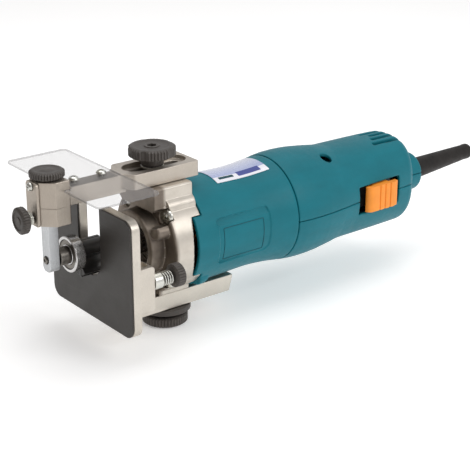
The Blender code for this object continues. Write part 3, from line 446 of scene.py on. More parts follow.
def sheet_look():
    """Clear plastic sheet: mostly see-through, with fine scuffs and a milky tint, and painted shade on its rim:
    faces that turn from straight up are darker and less see-through.
    """
    s = Shade("clear_plastic")
    scuffs = s.rescale(s.noise(700, 6.0, (0.12, 1.0, 1.0)), 0.0, 1.0, 0.56, 0.75)
    facing = s.add("ShaderNodeNewGeometry").outputs["Normal"]
    # painted shade: the darker, more opaque tint grows as a face's normal turns away from straight up
    rim = s.rescale(s.add("ShaderNodeSeparateXYZ", Vector=facing).outputs["Z"], 1.0, 0.0, 0.35, 0.95)
    sheet = s.blend(scuffs, (0.40, 0.385, 0.385), (0.52, 0.51, 0.51))
    base = s.blend(rim, sheet, (0.20, 0.19, 0.19))
    gloss = s.rescale(scuffs, 0.05, 0.22, 0.0, 1.0)
    veil = s.rescale(rim, 0.20, 0.45, 0.0, 1.0)
    return s.finish(base, gloss, Alpha=veil, IOR=1.49, Coat_Weight=0.3)


def label_look():
    """Blank printed film: a lilac panel fading from pale to blue, and a white strip along its near edge."""
    s = Shade("label_film")
    parts = s.add("ShaderNodeSeparateXYZ", Vector=s.place)
    across = parts.outputs["Y"]
    fade = s.rescale(across, 1.0, 0.0, -0.0105, 0.012)
    lilac = s.blend(fade, (0.70, 0.72, 0.80), (0.27, 0.33, 0.58))
    strip = s.rescale(across, 1.0, 0.0, -0.00790, -0.00770)
    printed = s.blend(strip, lilac, (0.80, 0.80, 0.86))
    cloudy = s.rescale(s.noise(60, 3.0), 0.0, 0.06)
    base = s.blend(cloudy, printed, (0.95, 0.95, 1.0))
    gloss = s.rescale(s.noise(500, 3.0), 0.22, 0.34)
    relief = s.bump(s.noise(900, 2.0), 0.000001)
    return s.finish(base, gloss, relief, Coat_Weight=0.4)


def nose_look():
    """Sand-cast neck, grainy and rougher and coloured dark brown as painted shade, that turns into the satin
    turned barrel behind it.
    """
    s = Shade("nose_aluminium")
    along = s.add("ShaderNodeSeparateXYZ", Vector=s.place).outputs["X"]
    # the turned share sets the rougher cast front's finish and also where the painted shade gives way to the satin
    # colour
    turned = s.rescale(along, 0.0, 1.0, 0.0405, 0.0430)
    cloud = s.cloud(120, 5.0)
    # painted shade: the nose's front ahead of the barrel, neck and shoulder face, is coloured dark brown because
    # it lies in shade
    painted_front_shade = s.blend(cloud, (0.17, 0.14, 0.115), (0.27, 0.23, 0.19))
    satin = s.blend(cloud, (0.52, 0.475, 0.415), (0.62, 0.575, 0.51))
    base = s.blend(turned, painted_front_shade, satin)
    # painted highlight: convex edges are lightened towards pale aluminium
    base = s.blend(s.painted_edge_highlight(0.5), base, (0.68, 0.63, 0.56))
    lines = s.noise(2600, 3.0, (1, 0.3, 0.3))
    gloss = s.rescale(turned, 0.46, 0.34, 0.0, 1.0)
    relief = s.bump(s.noise(1500, 4.0), 0.00002)
    return s.finish(base, gloss, s.bump(lines, 0.000006, relief), Metallic=0.82)


def winding_look():
    """Lacquered copper wire lying in even turns, with painted shade in the dark part of each band between the
    turns.
    """
    s = Shade("copper")
    turns = s.bands(620, "X", 1.2)
    # painted shade: the dark copper of each band stands for the shade between round wires
    base = s.blend(turns, (0.18, 0.055, 0.020), (0.66, 0.26, 0.10))
    gloss = s.rescale(s.noise(400, 4.0), 0.24, 0.40)
    return s.finish(base, gloss, s.bump(turns, 0.00012), Metallic=0.85,
                    Coat_Weight=0.5)


def lamination_look():
    """Stacked iron sheets, seen as fine lines across the axis."""
    s = Shade("iron_laminations")
    sheets = s.bands(640, "X", 0.1)
    rust = s.rescale(s.noise(140, 5.0), 0.0, 0.4, 0.5, 0.75)
    steel = s.blend(sheets, (0.09, 0.09, 0.095), (0.36, 0.36, 0.37))
    base = s.blend(rust, steel, (0.16, 0.09, 0.05))
    gloss = s.rescale(s.noise(600, 3.0), 0.38, 0.55)
    return s.finish(base, gloss, s.bump(sheets, 0.00008), Metallic=0.9)


def segment_look():
    """Commutator copper with the darker track that the brushes leave."""
    s = Shade("commutator_copper")
    track = s.cloud(900, 3.0, (1.0, 0.05, 0.05))
    base = s.blend(track, (0.60, 0.24, 0.10), (0.20, 0.09, 0.05))
    gloss = s.rescale(track, 0.20, 0.38, 0.0, 1.0)
    return s.finish(base, gloss, s.bump(track, 0.00001), Metallic=0.95)


LOOKS = {
    "teal_plastic": moulded("teal_plastic", (0.0045, 0.150, 0.190), 0.44, gleam=0.22),
    "orange_plastic": moulded("orange_plastic", (0.88, 0.285, 0.026), 0.40, grain=0.000006, edge_light=1.1),
    "knob_plastic": moulded("knob_plastic", (0.060, 0.052, 0.046), 0.46, edge_light=2.0),
    "black_plastic": moulded("black_plastic", (0.016, 0.016, 0.017), 0.45, edge_light=1.8),
    "carbon": moulded("carbon", (0.016, 0.016, 0.017), 0.70, grain=0.00003, mottle=0.3),
    "cast_aluminium": metal("cast_aluminium", (0.60, 0.555, 0.49), 0.36, (1, 1, 0.25), 3000, 0.000007, 0.82),
    "zinc_steel": metal("zinc_steel", (0.66, 0.66, 0.62), 0.27, stain=(0.62, 0.56, 0.34), stain_share=0.25),
    "polished_steel": metal("polished_steel", (0.62, 0.61, 0.60), 0.20, (1, 0.2, 1), 2200, 0.000003),
    "tool_steel": metal("tool_steel", (0.030, 0.028, 0.026), 0.34, metallic=0.6, mottle=0.25),
    "brass": metal("brass", (0.62, 0.44, 0.16), 0.26, stain=(0.28, 0.17, 0.06), stain_share=0.4),
    "black_facing": facing_look(),
    "black_rubber": rubber_look(),
    "clear_plastic": sheet_look(),
    "label_film": label_look(),
    "copper": winding_look(),
    "iron_laminations": lamination_look(),
}
SEGMENTS = segment_look()
NOSE_METAL = nose_look()
BRIGHT_BAR = metal("bright_bar", (0.47, 0.48, 0.49), 0.30, (1, 1, 0.2), 2200, 0.000003)
# painted shade: a dark steel for the bearing's pin and shield, which lie in shade inside the bearing
SHADED_STEEL = metal("burnished_steel", (0.20, 0.185, 0.165), 0.30, (1, 0.3, 1), 2200, 0.000004)
# painted shade: a darker copy of the cast aluminium for the post and its cover strip, whose front faces lie in
# shade
SHADED_POST_METAL = metal("post_aluminium", (0.42, 0.37, 0.315), 0.38, (1, 1, 0.25), 3000, 0.000007, 0.8)
# painted shade: a somewhat darker copy of the cast aluminium for the guide arm, whose front faces lie in shade
SHADED_BAR_METAL = metal("guide_aluminium", (0.50, 0.45, 0.39), 0.36, (0.25, 1, 1), 3000, 0.000007, 0.8)
# dark teal: painted shade for the engraved panel lines, drawn as wires in place of grooves, and the print of the
# label's bar
GROOVE_SHADE_AND_PRINT = moulded("engraved_teal", (0.004, 0.055, 0.072), 0.6)
PANEL_MARKS = moulded("printed_blue", (0.05, 0.07, 0.28), 0.4)


# ---- small hardware
def cross_recess(face, axis, centre, size, depth):
    """Two crossed blades that sink into a screw head whose crown is at the face."""
    low, high = face - depth, face + depth
    width = size * 0.30
    plus = prism(rectangle(-size, size, -width / 2, width / 2), low, high, axis, centre)
    return join(plus, prism(rectangle(-width / 2, width / 2, -size, size), low, high, axis, centre))


def pan_screw(node, seat, direction, centre, head, height, shank, length):
    """A cross-recess screw whose domed head sits on the seat and faces along direction, like "-X"."""
    axis = direction[-1]
    sign = -1.0 if direction[0] == "-" else 1.0
    dome = [(height * sin(t), head * cos(t) ** 0.7) for t in (0.25, 0.5, 0.75, 1.0, 1.25, 1.45)]
    stations = [(-length, 0), (-length, shank * 0.8), (-length + shank * 0.3, shank), (0, shank)]
    stations += [(0, head * 0.95), (0.0001, head)] + dome + [(height, 0)]
    screw = lathe([(seat + sign * along, radius) for along, radius in stations], axis, centre, 48)
    cut(screw, cross_recess(seat + sign * height, axis, centre, head * 0.62, height * 0.62))
    show(screw, node, sharp=40)


def serrated(count, depth, scallops=0, scallop_depth=0.0):
    """How far a grip's rim is cut back at an angle: narrow grooves, and wide shallow finger hollows."""
    def wave(angle):
        groove = depth * max(0.0, -cos(count * angle)) ** 0.8
        hollow = max(0.0, (cos(scallops * angle) - 0.55) / 0.45) ** 1.5 if scallops else 0.0
        return groove * (1 - hollow) + scallop_depth * hollow
    return wave


def grip(low, high, radius, wave, axis, centre, front, dish=0.0005, sides=400):
    """A knurled disc with a shallow dished face; front is 1 when that face is at the high end."""
    chamfer, shoulder = 0.0011, 0.0002
    flat, slant = radius - 0.0024, radius - 0.0012
    rim = [(0.0, 0.0), (0.0, flat, 0.0), (shoulder, slant, 0.4), (chamfer, radius, 1.0)]
    depth = high - low
    floor, button = depth - dish, depth - dish * 0.2
    face = [(depth - chamfer, radius, 1.0), (depth - shoulder, slant, 0.4), (depth, flat, 0.0),
            (depth, radius * 0.74, 0.0), (floor, radius * 0.68, 0.0), (floor, radius * 0.34, 0.0),
            (button, radius * 0.30, 0.0), (button, 0.0)]
    profile = [((low + a) if front > 0 else (high - a), r, *s) for a, r, *s in rim + face]
    return lathe(profile, axis, centre, sides, wave=wave)


def spring(node, radius, gauge, turns, centre):
    """A compression spring along X, between its CAD node's ends."""
    low, high = span(node, "X")
    steps = 28
    count = turns * steps + 1
    points = []
    for k in range(count):
        angle = 2 * pi * k / steps
        along = low + gauge + (high - low - 2 * gauge) * k / (count - 1)
        points.append((along, centre[0] + radius * cos(angle), centre[1] + radius * sin(angle)))
    show(wire(points, gauge), node, sharp=80)


# ---- base
NOTCH = 0.012  # half width of the cutter's opening
ARM_HALF = span("guide_arm", "Y")[1]
SLOT_HALF = 0.0034
SLOT_CORNER = 0.0033
DEPTH_CENTRE = (middle("depth_bush", "Y"), middle("depth_bush", "Z"))


def plate_outline(inset):
    """The base plate's outline (Y, Z) with its U-shaped notch, drawn in by the inset."""
    low_y, high_y = span("base_facing", "Y")
    low_z, high_z = span("base_facing", "Z")
    side, bottom, top = high_y - inset, low_z + inset, high_z - inset
    corner, mouth, notch = 0.007, 0.0012, NOTCH + inset
    bowl = notch * 0.999
    return rounded([(low_y + inset, bottom, corner), (side, bottom, corner), (side, top, corner),
                    (notch, top, mouth), (notch, -notch, bowl), (-notch, -notch, bowl), (-notch, top, mouth),
                    (-side, top, corner)], 14)


def make_base():
    """Plate, arm with the clamp's slot, lug of the depth stop, and the dark facing."""
    front, rear = span("base_facing", "X")
    bottom, top = span("base_bracket", "Z")[0], -0.0333
    plate_rear = 0.007
    arm_end = span("base_bracket", "X")[1]
    bracket = prism(plate_outline(0.0), rear + GAP, plate_rear, "X")
    inside = plate_rear - 0.001
    arm = prism(rounded([(inside, bottom, 0), (arm_end - 0.003, bottom, 0.001), (arm_end, top, 0.0006),
                         (inside, top, 0)]), -ARM_HALF, ARM_HALF, "Y")
    lug_low, lug_high, lug_rear, corner = -0.025, 0.0033, 0.0165, 0.002
    lug = prism(rounded([(inside, lug_low, 0), (lug_rear, lug_low, corner), (lug_rear, lug_high, corner),
                         (inside, lug_high, 0)]), -0.0443, -0.032, "Y")
    web = prism([(inside, top - 0.001), (0.0115, top - 0.001), (inside, top + 0.0045)], -0.0105, 0.0105, "Y")
    join(bracket, arm, web)
    join(edge(bracket, 0.0006), edge(lug, 0.0004))
    slot = rectangle(0.034, 0.086, -SLOT_HALF, SLOT_HALF, SLOT_CORNER, 10)
    pocket = rectangle(0.0085, 0.0145, -0.0412, -0.0342, 0.0015, 4)
    cut(bracket, prism(slot, bottom - 0.002, top + 0.002, "Z"), prism(pocket, 0.0012, 0.010, "Z"),
        rod(0.0037, -0.001, 0.020, "X", DEPTH_CENTRE))
    show(bracket, "base_bracket")
    show(edge(prism(plate_outline(0.0001), front, rear, "X"), 0.0002, 2), "base_facing")


def make_depth_adjuster():
    """Bush in the lug, spring and knurled stop screw."""
    centre = DEPTH_CENTRE
    bore, shank, head, seat = 0.0026, 0.0034, 0.005, 0.0168
    low, high = span("depth_bush", "X")
    bush = rounded([(low, shank, 0.0003), (seat, shank, 0), (seat, head, 0.0005), (high, head, 0.0008),
                    (high, bore, 0.0003), (low, bore, 0.0003)], 4)
    show(lathe(bush, "X", centre, 64, ring=True), "depth_bush", sharp=35)
    spring("depth_spring", 0.0039, 0.00045, 4, centre)
    low, high = span("depth_knob", "X")
    knob = grip(0.0311, high, 0.0072, serrated(26, 0.00045), "X", centre, 1, sides=260)
    join(knob, round_rod(0.0023, low, 0.032, 0.0004, "X", centre))
    show(knob, "depth_knob", sharp=40)


# ---- clamp knobs
def make_clamp_knob(node, disc_low, disc_high, hub_end, stud_end, scallops):
    """A serrated knob with a stepped hub and a stud towards the machine, and a hexagon socket outside."""
    centre = (middle(node, "X"), 0)
    up = stud_end < disc_low
    radius = span(node, "Y")[1]
    rim_wave = serrated(44, 0.0006, scallops, 0.0011)
    knob = grip(disc_low, disc_high, radius, rim_wave, "Z", centre, 1 if up else -1)
    inner, outer = (disc_low, disc_high) if up else (disc_high, disc_low)
    toward = 0.001 if up else -0.001
    hub = round_rod(0.0070, *sorted((hub_end, inner + toward)), 0.0005, "Z", centre)
    flange = round_rod(0.0088, *sorted((inner + toward, inner - toward * 0.9)), 0.0004, "Z", centre)
    halfway = (disc_low + disc_high) / 2
    stud = round_rod(0.0030, *sorted((halfway, stud_end)), 0.0004, "Z", centre)
    join(knob, hub, flange, stud)
    socket, depth = [around(0.0030, 60 * k) for k in range(6)], 0.0026
    join(knob, tube(*sorted((outer, outer - toward)), 0.0048, 0.0034, 0.0003, "Z", centre))
    cut(knob, prism(socket, outer - depth, outer + depth, "Z", centre))
    show(knob, node, sharp=40)


def make_washer(node, fillet):
    bore = 0.0034
    washer = tube(*span(node, "Z"), span(node, "Y")[1], bore, fillet, "Z", (middle(node, "X"), 0))
    show(washer, node)


# ---- guide
BAR_HALF = 0.0055
BAR_TOP = 0.0477
ARM_TOP = span("guide_arm", "Z")[1]
POST = {axis: span("guide_post", axis) for axis in "XYZ"}
SCREW_PLACES = {"shield_screw_front": -0.0086, "shield_screw_rear": 0.0102}
COVER_SCREW_Z = 0.0515


def make_guide_arm():
    """Broad slotted part over the nose and the narrow bar in front of it."""
    front = POST["X"][1] + GAP
    rear = span("guide_arm", "X")[1]
    bottom, neck, broad = 0.039, 0.0205, 0.0255
    plan = rounded([(rear, -ARM_HALF, 0.0015), (rear, ARM_HALF, 0.0015), (broad, ARM_HALF, 0.003),
                    (neck, BAR_HALF, 0.004), (front, BAR_HALF, 0), (front, -BAR_HALF, 0),
                    (neck, -BAR_HALF, 0.004), (broad, -ARM_HALF, 0.003)], 8)
    arm = prism(plan, bottom, ARM_TOP, "Z")
    keel = block((front, -BAR_HALF, 0.0365), (0.024, BAR_HALF, bottom + 0.001))
    join(arm, keel)
    cut(arm, block((front - 0.001, -0.0075, BAR_TOP), (0.0198, 0.0075, 0.060)),
        prism(rectangle(0.026, 0.0695, -0.0076, 0.0076, 0.0074, 14), 0.046, 0.060, "Z"),
        prism(rectangle(0.029, 0.065, -SLOT_HALF, SLOT_HALF, SLOT_CORNER, 10), 0.030, 0.060, "Z"),
        *[rod(0.0018, 0.0405, 0.060, "Z", (x, 0)) for x in SCREW_PLACES.values()])
    show(edge(arm, 0.00045), "guide_arm", look=SHADED_BAR_METAL)


def make_chip_shield():
    """Clear sheet with rounded corners, notched round the post."""
    low_x, high_x = span("chip_shield", "X")
    low_y, high_y = span("chip_shield", "Y")
    low_z, high_z = span("chip_shield", "Z")
    play, corner = 0.0006, 0.0035
    inner = POST["Y"][1] + play
    notch = POST["X"][1] + play
    plan = rounded([(low_x, low_y, corner), (high_x, low_y, corner), (high_x, high_y, corner),
                    (low_x, high_y, corner), (low_x, inner, 0.0005), (notch, inner, 0.001),
                    (notch, -inner, 0.001), (low_x, -inner, 0.0005)], 10)
    shield = prism(plan, low_z, high_z, "Z")
    cut(shield, *[rod(0.0019, 0.040, 0.060, "Z", (x, 0)) for x in SCREW_PLACES.values()])
    show(edge(shield, 0.00025, 2), "chip_shield")
    for node, x in SCREW_PLACES.items():
        seat = high_z + GAP
        pan_screw(node, seat, "+Z", (x, 0), 0.0032, 0.0021, 0.0015, seat - 0.041)


def post_plan(inset):
    """The guide post's outline from above, chamfered in front."""
    side, front, rear = POST["Y"][1] - inset, POST["X"][0] + inset, POST["X"][1]
    face, corner = 0.005, 0.0008
    back = front + 0.007
    return rounded([(rear, -side, 0.0006), (rear, side, 0.0006), (back, side, corner), (front, face, corner),
                    (front, -face, corner), (back, -side, corner)], 3)


def make_guide_post():
    """Post with its seam, cover strip and screw, and the side lock with its spring."""
    bottom, top = POST["Z"]
    x = middle("fine_adjust_knob", "X")
    lock_z = middle("side_lock_knob", "Z")
    bar_front, bar_rear = span("slide_bar", "X")
    post = prism(post_plan(0.0), bottom, top, "Z")
    seam = cut(block((-0.050, -0.030, 0.0389), (POST["X"][1] - 0.004, 0.030, 0.0392)),
               prism(post_plan(0.00025), 0.030, 0.050, "Z"))
    lock_bore, screw_bore = 0.0023, 0.0014
    cut(post, block((bar_front - GAP, -0.0043, 0.0), (bar_rear + GAP, 0.0043, 0.0505)),
        rod(0.0029, 0.040, 0.060, "Z", (x, 0)), rod(lock_bore, -0.040, -0.027, "X", (0, lock_z)),
        rod(screw_bore, -0.040, -0.0305, "X", (0, COVER_SCREW_Z)))
    post = cut(edge(post, 0.0004), seam)
    show(post, "guide_post", look=SHADED_POST_METAL)
    front = POST["X"][0]
    half = 0.006
    strip = prism(rounded([(-half, bottom, 0.0012), (half, bottom, 0.0012), (half, top, 0.003),
                           (-half, top, 0.003)]), *span("post_cover", "X"), "X")
    cut(strip, rod(lock_bore, -0.040, -0.030, "X", (0, lock_z)),
        rod(screw_bore, -0.040, -0.030, "X", (0, COVER_SCREW_Z)))
    show(edge(strip, 0.0004), "post_cover", look=SHADED_POST_METAL)
    seat = front - 0.0022 - GAP
    pan_screw("post_cover_screw", seat, "-X", (0, COVER_SCREW_Z), 0.0026, 0.0019, 0.0011, 0.0045)
    spring("side_lock_spring", 0.0034, 0.0005, 3, (0, lock_z))
    low, high = span("side_lock_knob", "X")
    knob = grip(low, low + 0.0053, 0.008, serrated(30, 0.00045), "X", (0, lock_z), -1, sides=300)
    join(knob, round_rod(0.0019, low + 0.004, high, 0.0004, "X", (0, lock_z)))
    show(knob, "side_lock_knob", sharp=40)


def make_fine_adjuster():
    """Serrated knob on the post and the threaded lead screw below it."""
    x = middle("fine_adjust_knob", "X")
    low, high = span("fine_adjust_knob", "Z")
    knob = grip(low, high, 0.0103, serrated(38, 0.0006), "Z", (x, 0), 1, dish=0.0003, sides=380)
    cut(knob, rod(0.0023, 0.050, 0.0578, "Z", (x, 0)))
    show(knob, "fine_adjust_knob", sharp=40)
    low, high = span("fine_adjust_screw", "Z")
    pitch, crest, root, thread_end = 0.0008, 0.0024, 0.00205, 0.0525
    thread = [(low, 0.0), (low, 0.0018)]
    along = low + pitch / 2
    while along < thread_end:
        thread += [(along, crest), (along + pitch / 2, root)]
        along += pitch
    thread += [(0.0535, crest), (0.0542, crest), (0.0546, 0.0019), (high, 0.0019), (high, 0.0)]
    show(lathe(thread, "Z", (x, 0), 40), "fine_adjust_screw", sharp=70)


def make_slide_bar():
    """Bright bar that hangs from the lead screw and carries the guide bearing's pin."""
    front, rear = span("slide_bar", "X")
    bottom, top = span("slide_bar", "Z")
    axle = middle("bearing_pin", "Z")
    x = middle("fine_adjust_screw", "X")
    half = span("slide_bar", "Y")[1]
    foot = 0.0030
    face = rounded([(-half, bottom, foot), (half, bottom, foot), (half, top, 0), (-half, top, 0)], 8)
    bar = prism(face, front, rear, "X")
    cut(bar, rod(0.0028, 0.0165, 0.050, "Z", (x, 0)), rod(0.0025, -0.035, -0.020, "X", (0, axle)))
    show(edge(bar, 0.0005), "slide_bar", look=BRIGHT_BAR)


def make_guide_bearing():
    """Pin with its shoulder, outer and inner rings, and the dished shield."""
    centre = (0, middle("bearing_pin", "Z"))
    front, rear = span("bearing_outer_ring", "X")
    low, high = span("bearing_pin", "X")
    shoulder, seat = -0.0222, front - GAP
    tail, flange, journal = 0.0022, 0.0055, 0.0037
    pin = rounded([(low, 0, 0), (low, tail, 0.0005), (shoulder, tail, 0), (shoulder, flange, 0.0004),
                   (seat, flange, 0.0004), (seat, journal, 0), (high, journal, 0.0003), (high, 0, 0)], 4)
    pin = lathe(pin, "X", centre, 64)
    cut(pin, round_rod(0.0010, low - 0.001, low + 0.0008, 0.0003, "X", centre, 32))
    # pin and shield take the dark steel that paints the shade inside the bearing
    show(pin, "bearing_pin", sharp=35, look=SHADED_STEEL)
    radius, mouth, inside, lip = 0.011, 0.0092, 0.0090, 0.0012
    outer = rounded([(front, radius, 0.0006), (rear, radius, 0.0006), (rear, mouth, 0.0002),
                     (rear - lip, inside, 0), (front + lip, inside, 0), (front, mouth, 0.0002)], 5)
    show(lathe(outer, "X", centre, 128, ring=True), "bearing_outer_ring", sharp=35)
    show(tube(front, rear, 0.0062, 0.004, 0.0004, "X", centre), "bearing_inner_ring",
         sharp=35)
    low, high = span("bearing_shield", "X")
    wall = [(0, 0.0087), (0.0001, 0.0083), (0.0002, 0.0078), (0, 0.0074), (0, 0.0065)]
    dished = [(low + sunk, radius) for sunk, radius in wall]
    dished += [(high + sunk, radius) for sunk, radius in reversed(wall)]
    show(lathe(dished, "X", centre, ring=True), "bearing_shield", sharp=60, look=SHADED_STEEL)


# ---- nose
NOSE_SCREW_REACH = 0.0295
SCREW_ANGLES = (45, 135, 225, 315)
BARREL_FRONT = 0.040


def ridge(half, bottom, top, fillet, front, rear):
    """A block along X whose two upper edges are rounded."""
    face = rounded([(-half, bottom, 0), (half, bottom, 0), (half, top, fillet), (-half, top, fillet)])
    return prism(face, front, rear, "X")


def make_nose():
    """Casting with its neck, barrel, guide platform, windows and bores, and its four screws."""
    front, rear = span("nose_casting", "X")
    neck, barrel = 0.0215, 0.033
    shell = rounded([(front, 0, 0), (front, neck, 0.0012), (BARREL_FRONT, neck, 0.0),
                     (BARREL_FRONT, barrel, 0.0018), (rear, barrel, 0), (rear, 0, 0)])
    casting = lathe(shell, sides=128)
    platform = ridge(0.019, 0.0235, 0.0387, 0.0016, 0.0345, rear)
    step = ridge(0.0225, 0.0205, 0.0312, 0.0060, 0.0428, rear)
    pad = block((BARREL_FRONT, -0.014, -barrel), (rear, 0.014, -0.0272))
    boss = lathe(rounded([(0.0315, 0, 0), (0.0315, 0.0044, 0.0020), (0.0410, 0.0049, 0), (0.0410, 0, 0)]),
                 centre=(-0.022, 0.013), sides=64)
    join(casting, platform, step, pad, boss)
    cut(casting, rod(0.0170, 0.020, 0.0370, sides=128), rod(0.0135, 0.030, 0.0450, sides=96),
        rod(0.0163, 0.0420, 0.0600, sides=96), rod(0.0260, 0.0535, 0.0700, sides=128))
    half, sag, crown, beyond, steps = 0.0193, 0.0028, 0.0533, 0.070, 16
    bend = (half ** 2 + sag ** 2) / (2 * sag)
    limit = asin(half / bend)
    mouth = [(beyond, -half), (beyond, half)]
    for k in range(steps + 1):
        angle = limit - 2 * limit * k / steps
        mouth.append((crown + bend - bend * cos(angle), bend * sin(angle)))
    cut(casting, prism(mouth, -0.040, -0.020, "Y"), prism(mouth, 0.020, 0.040, "Y"))
    for degrees in SCREW_ANGLES:
        place = around(NOSE_SCREW_REACH, degrees)
        cut(casting, rod(0.0052, 0.030, 0.0436, centre=place), rod(0.0024, 0.040, 0.070, centre=place))
    cut(casting, rod(0.0035, 0.0245, 0.045, "Z", (middle("guide_clamp_knob", "X"), 0)),
        rod(0.0035, -0.040, -0.0268, "Z", (middle("base_clamp_knob", "X"), 0)))
    show(cast(casting, 0.00036, 5), "nose_casting", sharp=SMOOTH, look=NOSE_METAL)
    for index, degrees in enumerate(SCREW_ANGLES):
        place = around(NOSE_SCREW_REACH, degrees)
        pan_screw(f"nose_screw_{index + 1}", 0.0434, "-X", place, 0.0045, 0.0027, 0.0019, 0.0255)


# ---- motor housing
TAB = span("motor_housing", "X")[0]
SEAM = span("motor_housing", "X")[1] + GAP
WALL = 0.0025
FLARE_FRONT, WAIST = 0.103, 0.0325


def housing_radius(x):
    """Outer radius of the housing: a slight taper and then a flare to the seam."""
    if x < FLARE_FRONT:
        return 0.034 - 0.0015 * (x - TAB) / (FLARE_FRONT - TAB)
    return WAIST + 0.0027 * ((x - FLARE_FRONT) / (SEAM - FLARE_FRONT)) ** 2


def sink(housing, level, front, rear, side, outline):
    """Cuts an outline (X, Z) into one side of the housing, down to a level round the spindle."""
    ring = tube(front, rear, 0.040, level, 0.0, sides=160)
    low, high = sorted((side * 0.020, side * 0.045))
    cut(housing, boolean(ring, "INTERSECT", (prism(rounded(outline), low, high, "Y"),)))


def draw_panel_line(side, word):
    """The fine engraved frame inside the side panel, drawn as a thin dark teal wire whose colour is painted shade
    of the groove.
    """
    level = 0.0322
    frame_line = rectangle(0.077, 0.108, -0.0123, 0.0083, 0.0006, 4)
    fine = []
    for (x0, z0), (x1, z1) in zip(frame_line, frame_line[1:] + frame_line[:1]):
        steps = max(1, int(hypot(x1 - x0, z1 - z0) / 0.001))
        for k in range(steps):
            x, z = x0 + (x1 - x0) * k / steps, z0 + (z1 - z0) * k / steps
            fine.append((x, side * sqrt(level ** 2 - z ** 2), z))
    line = wire(fine, 0.00016, cyclic=True, resolution=2)
    show(line, "motor_housing", f"panel_line_{word}", look=GROOVE_SHADE_AND_PRINT, sharp=80)


def make_housing():
    """Tapered shell with front tabs, screw bosses, side panels and a flat for the base's arm."""
    rear = SEAM - GAP
    stations = [TAB + (rear - TAB) * k / 40 for k in range(41)]
    lip = rear - 0.0006
    outside = [(x, housing_radius(x) - (0.0004 if x > lip else 0.0)) for x in stations]
    inside = [(x, housing_radius(x) - WALL) for x in reversed(stations)]
    housing = lathe(outside + inside, sides=160, ring=True)
    bulge = [(0.0633, 0.0), (0.0633, 0.0061), (0.0645, 0.0064), (0.069, 0.0058), (0.0725, 0.0040),
             (0.0755, 0.0020), (0.0755, 0.0)]
    for side in (-1, 1):
        upper = (NOSE_SCREW_REACH * side * sqrt(0.5), NOSE_SCREW_REACH * sqrt(0.5))
        join(housing, lathe(bulge, centre=(side * 0.0189, -0.0232), sides=64),
             rod(0.0036, 0.0633, 0.0742, centre=upper))
    cut(housing, rod(0.0270, 0.050, 0.0770, sides=160))
    far, front, tab_half = 0.050, 0.063, 0.0188
    cut(housing, block((far, -far, tab_half), (front, far, far)),
        block((far, -far, -far), (front, far, -tab_half)),
        block((far, -0.0138, -far), (0.1155, 0.0138, -0.03225)))
    panel_front, panel_rear, half = 0.0730, 0.1135, 0.0145
    panel = [(panel_front, -half, 0.002), (panel_rear, -half, 0.005), (panel_rear, half, 0.005),
             (panel_front, half, 0.002)]
    channel = [(0.0716, 0.0105, 0.0015), (0.1125, 0.0105, 0.002), (0.1125, 0.0148, 0.002),
               (0.0716, 0.0148, 0.0015)]
    for side in (-1, 1):
        sink(housing, 0.0321, panel_front, panel_rear, side, panel)
        sink(housing, 0.0317, 0.0700, 0.1125, side, channel)
    for degrees in SCREW_ANGLES:
        cut(housing, rod(0.0022, 0.050, 0.0700, centre=around(NOSE_SCREW_REACH, degrees)))
    show(cast(housing, 0.00042, 5), "motor_housing", sharp=SMOOTH)
    draw_panel_line(-1, "near")
    draw_panel_line(1, "far")


def patch(low_x, high_x, low_angle, high_angle, lift, thickness):
    """A thin curved film on the housing between two angles round the spindle, in degrees."""
    across, down = 40, 24
    cage = bmesh.new()
    layers = []
    for extra in (lift, lift + thickness):
        layer = []
        for i in range(down + 1):
            x = low_x + (high_x - low_x) * i / down
            row = []
            for k in range(across + 1):
                angle = radians(low_angle + (high_angle - low_angle) * k / across)
                radius = housing_radius(x) + extra
                row.append(cage.verts.new((x, -radius * cos(angle), radius * sin(angle))))
            layer.append(row)
        layers.append(layer)
    for layer in layers:
        for i in range(down):
            for k in range(across):
                cage.faces.new((layer[i][k], layer[i][k + 1], layer[i + 1][k + 1], layer[i + 1][k]))
    low, high = layers
    rim = [(i, 0) for i in range(down)] + [(down, k) for k in range(across)]
    rim += [(i, across) for i in range(down, 0, -1)] + [(0, k) for k in range(across, 0, -1)]
    for (i, k), (m, n) in zip(rim, rim[1:] + rim[:1]):
        cage.faces.new((low[i][k], low[m][n], high[m][n], high[i][k]))
    return made(cage, "film")


def make_label():
    """Blank film on top of the housing, with two plain printed bars."""
    low, high = span("label", "X")
    lift, film, ink = GAP / 3, 0.0003, 0.00005
    show(patch(low, high, 67, 113, lift, film), "label", sharp=60)
    bar = patch(low + 0.0035, low + 0.0150, 71.5, 75.5, lift + film, ink)
    show(bar, "label", "label_bar", look=GROOVE_SHADE_AND_PRINT)
    block_print = patch(low + 0.0185, low + 0.0360, 70.5, 78.5, lift + film, ink)
    show(block_print, "label", "label_block", look=PANEL_MARKS)


# ---- handle
BOSS = (0, -0.0017)  # the cable boss's axis (Y, Z)
BELLY = ((SEAM, 0.0352), (0.142, 0.0360), (0.150, 0.0362), (0.156, 0.0360), (0.162, 0.0356), (0.174, 0.0341),
         (0.188, 0.0319), (0.200, 0.0297), (0.230, 0.0240))
BELLY_REAR = 0.200
GRIP_TOP = ((SEAM, 0.0335), (0.150, 0.0335), (0.189, 0.0320), (0.217, 0.0316), (0.245, 0.0312))
SQUARENESS = ((SEAM, 2.0), (0.168, 2.0), (0.217, 2.35), (0.245, 2.45))
GRIP_SIDE = ((SEAM, 0.0346), (0.150, 0.0352), (0.168, 0.0349), (0.189, 0.0318), (0.205, 0.0304),
             (0.245, 0.0270))
END_ROUND = 0.2395
CAP_REAR = 0.2480
END_FILLET = 0.0082
BOSS_REAR = 0.2675
HANDLE_SCREWS = ((0.1734, -0.015), (0.1734, 0.015))
VENTS = (-0.0115, -0.0058, 0.0, 0.0058, 0.0115)


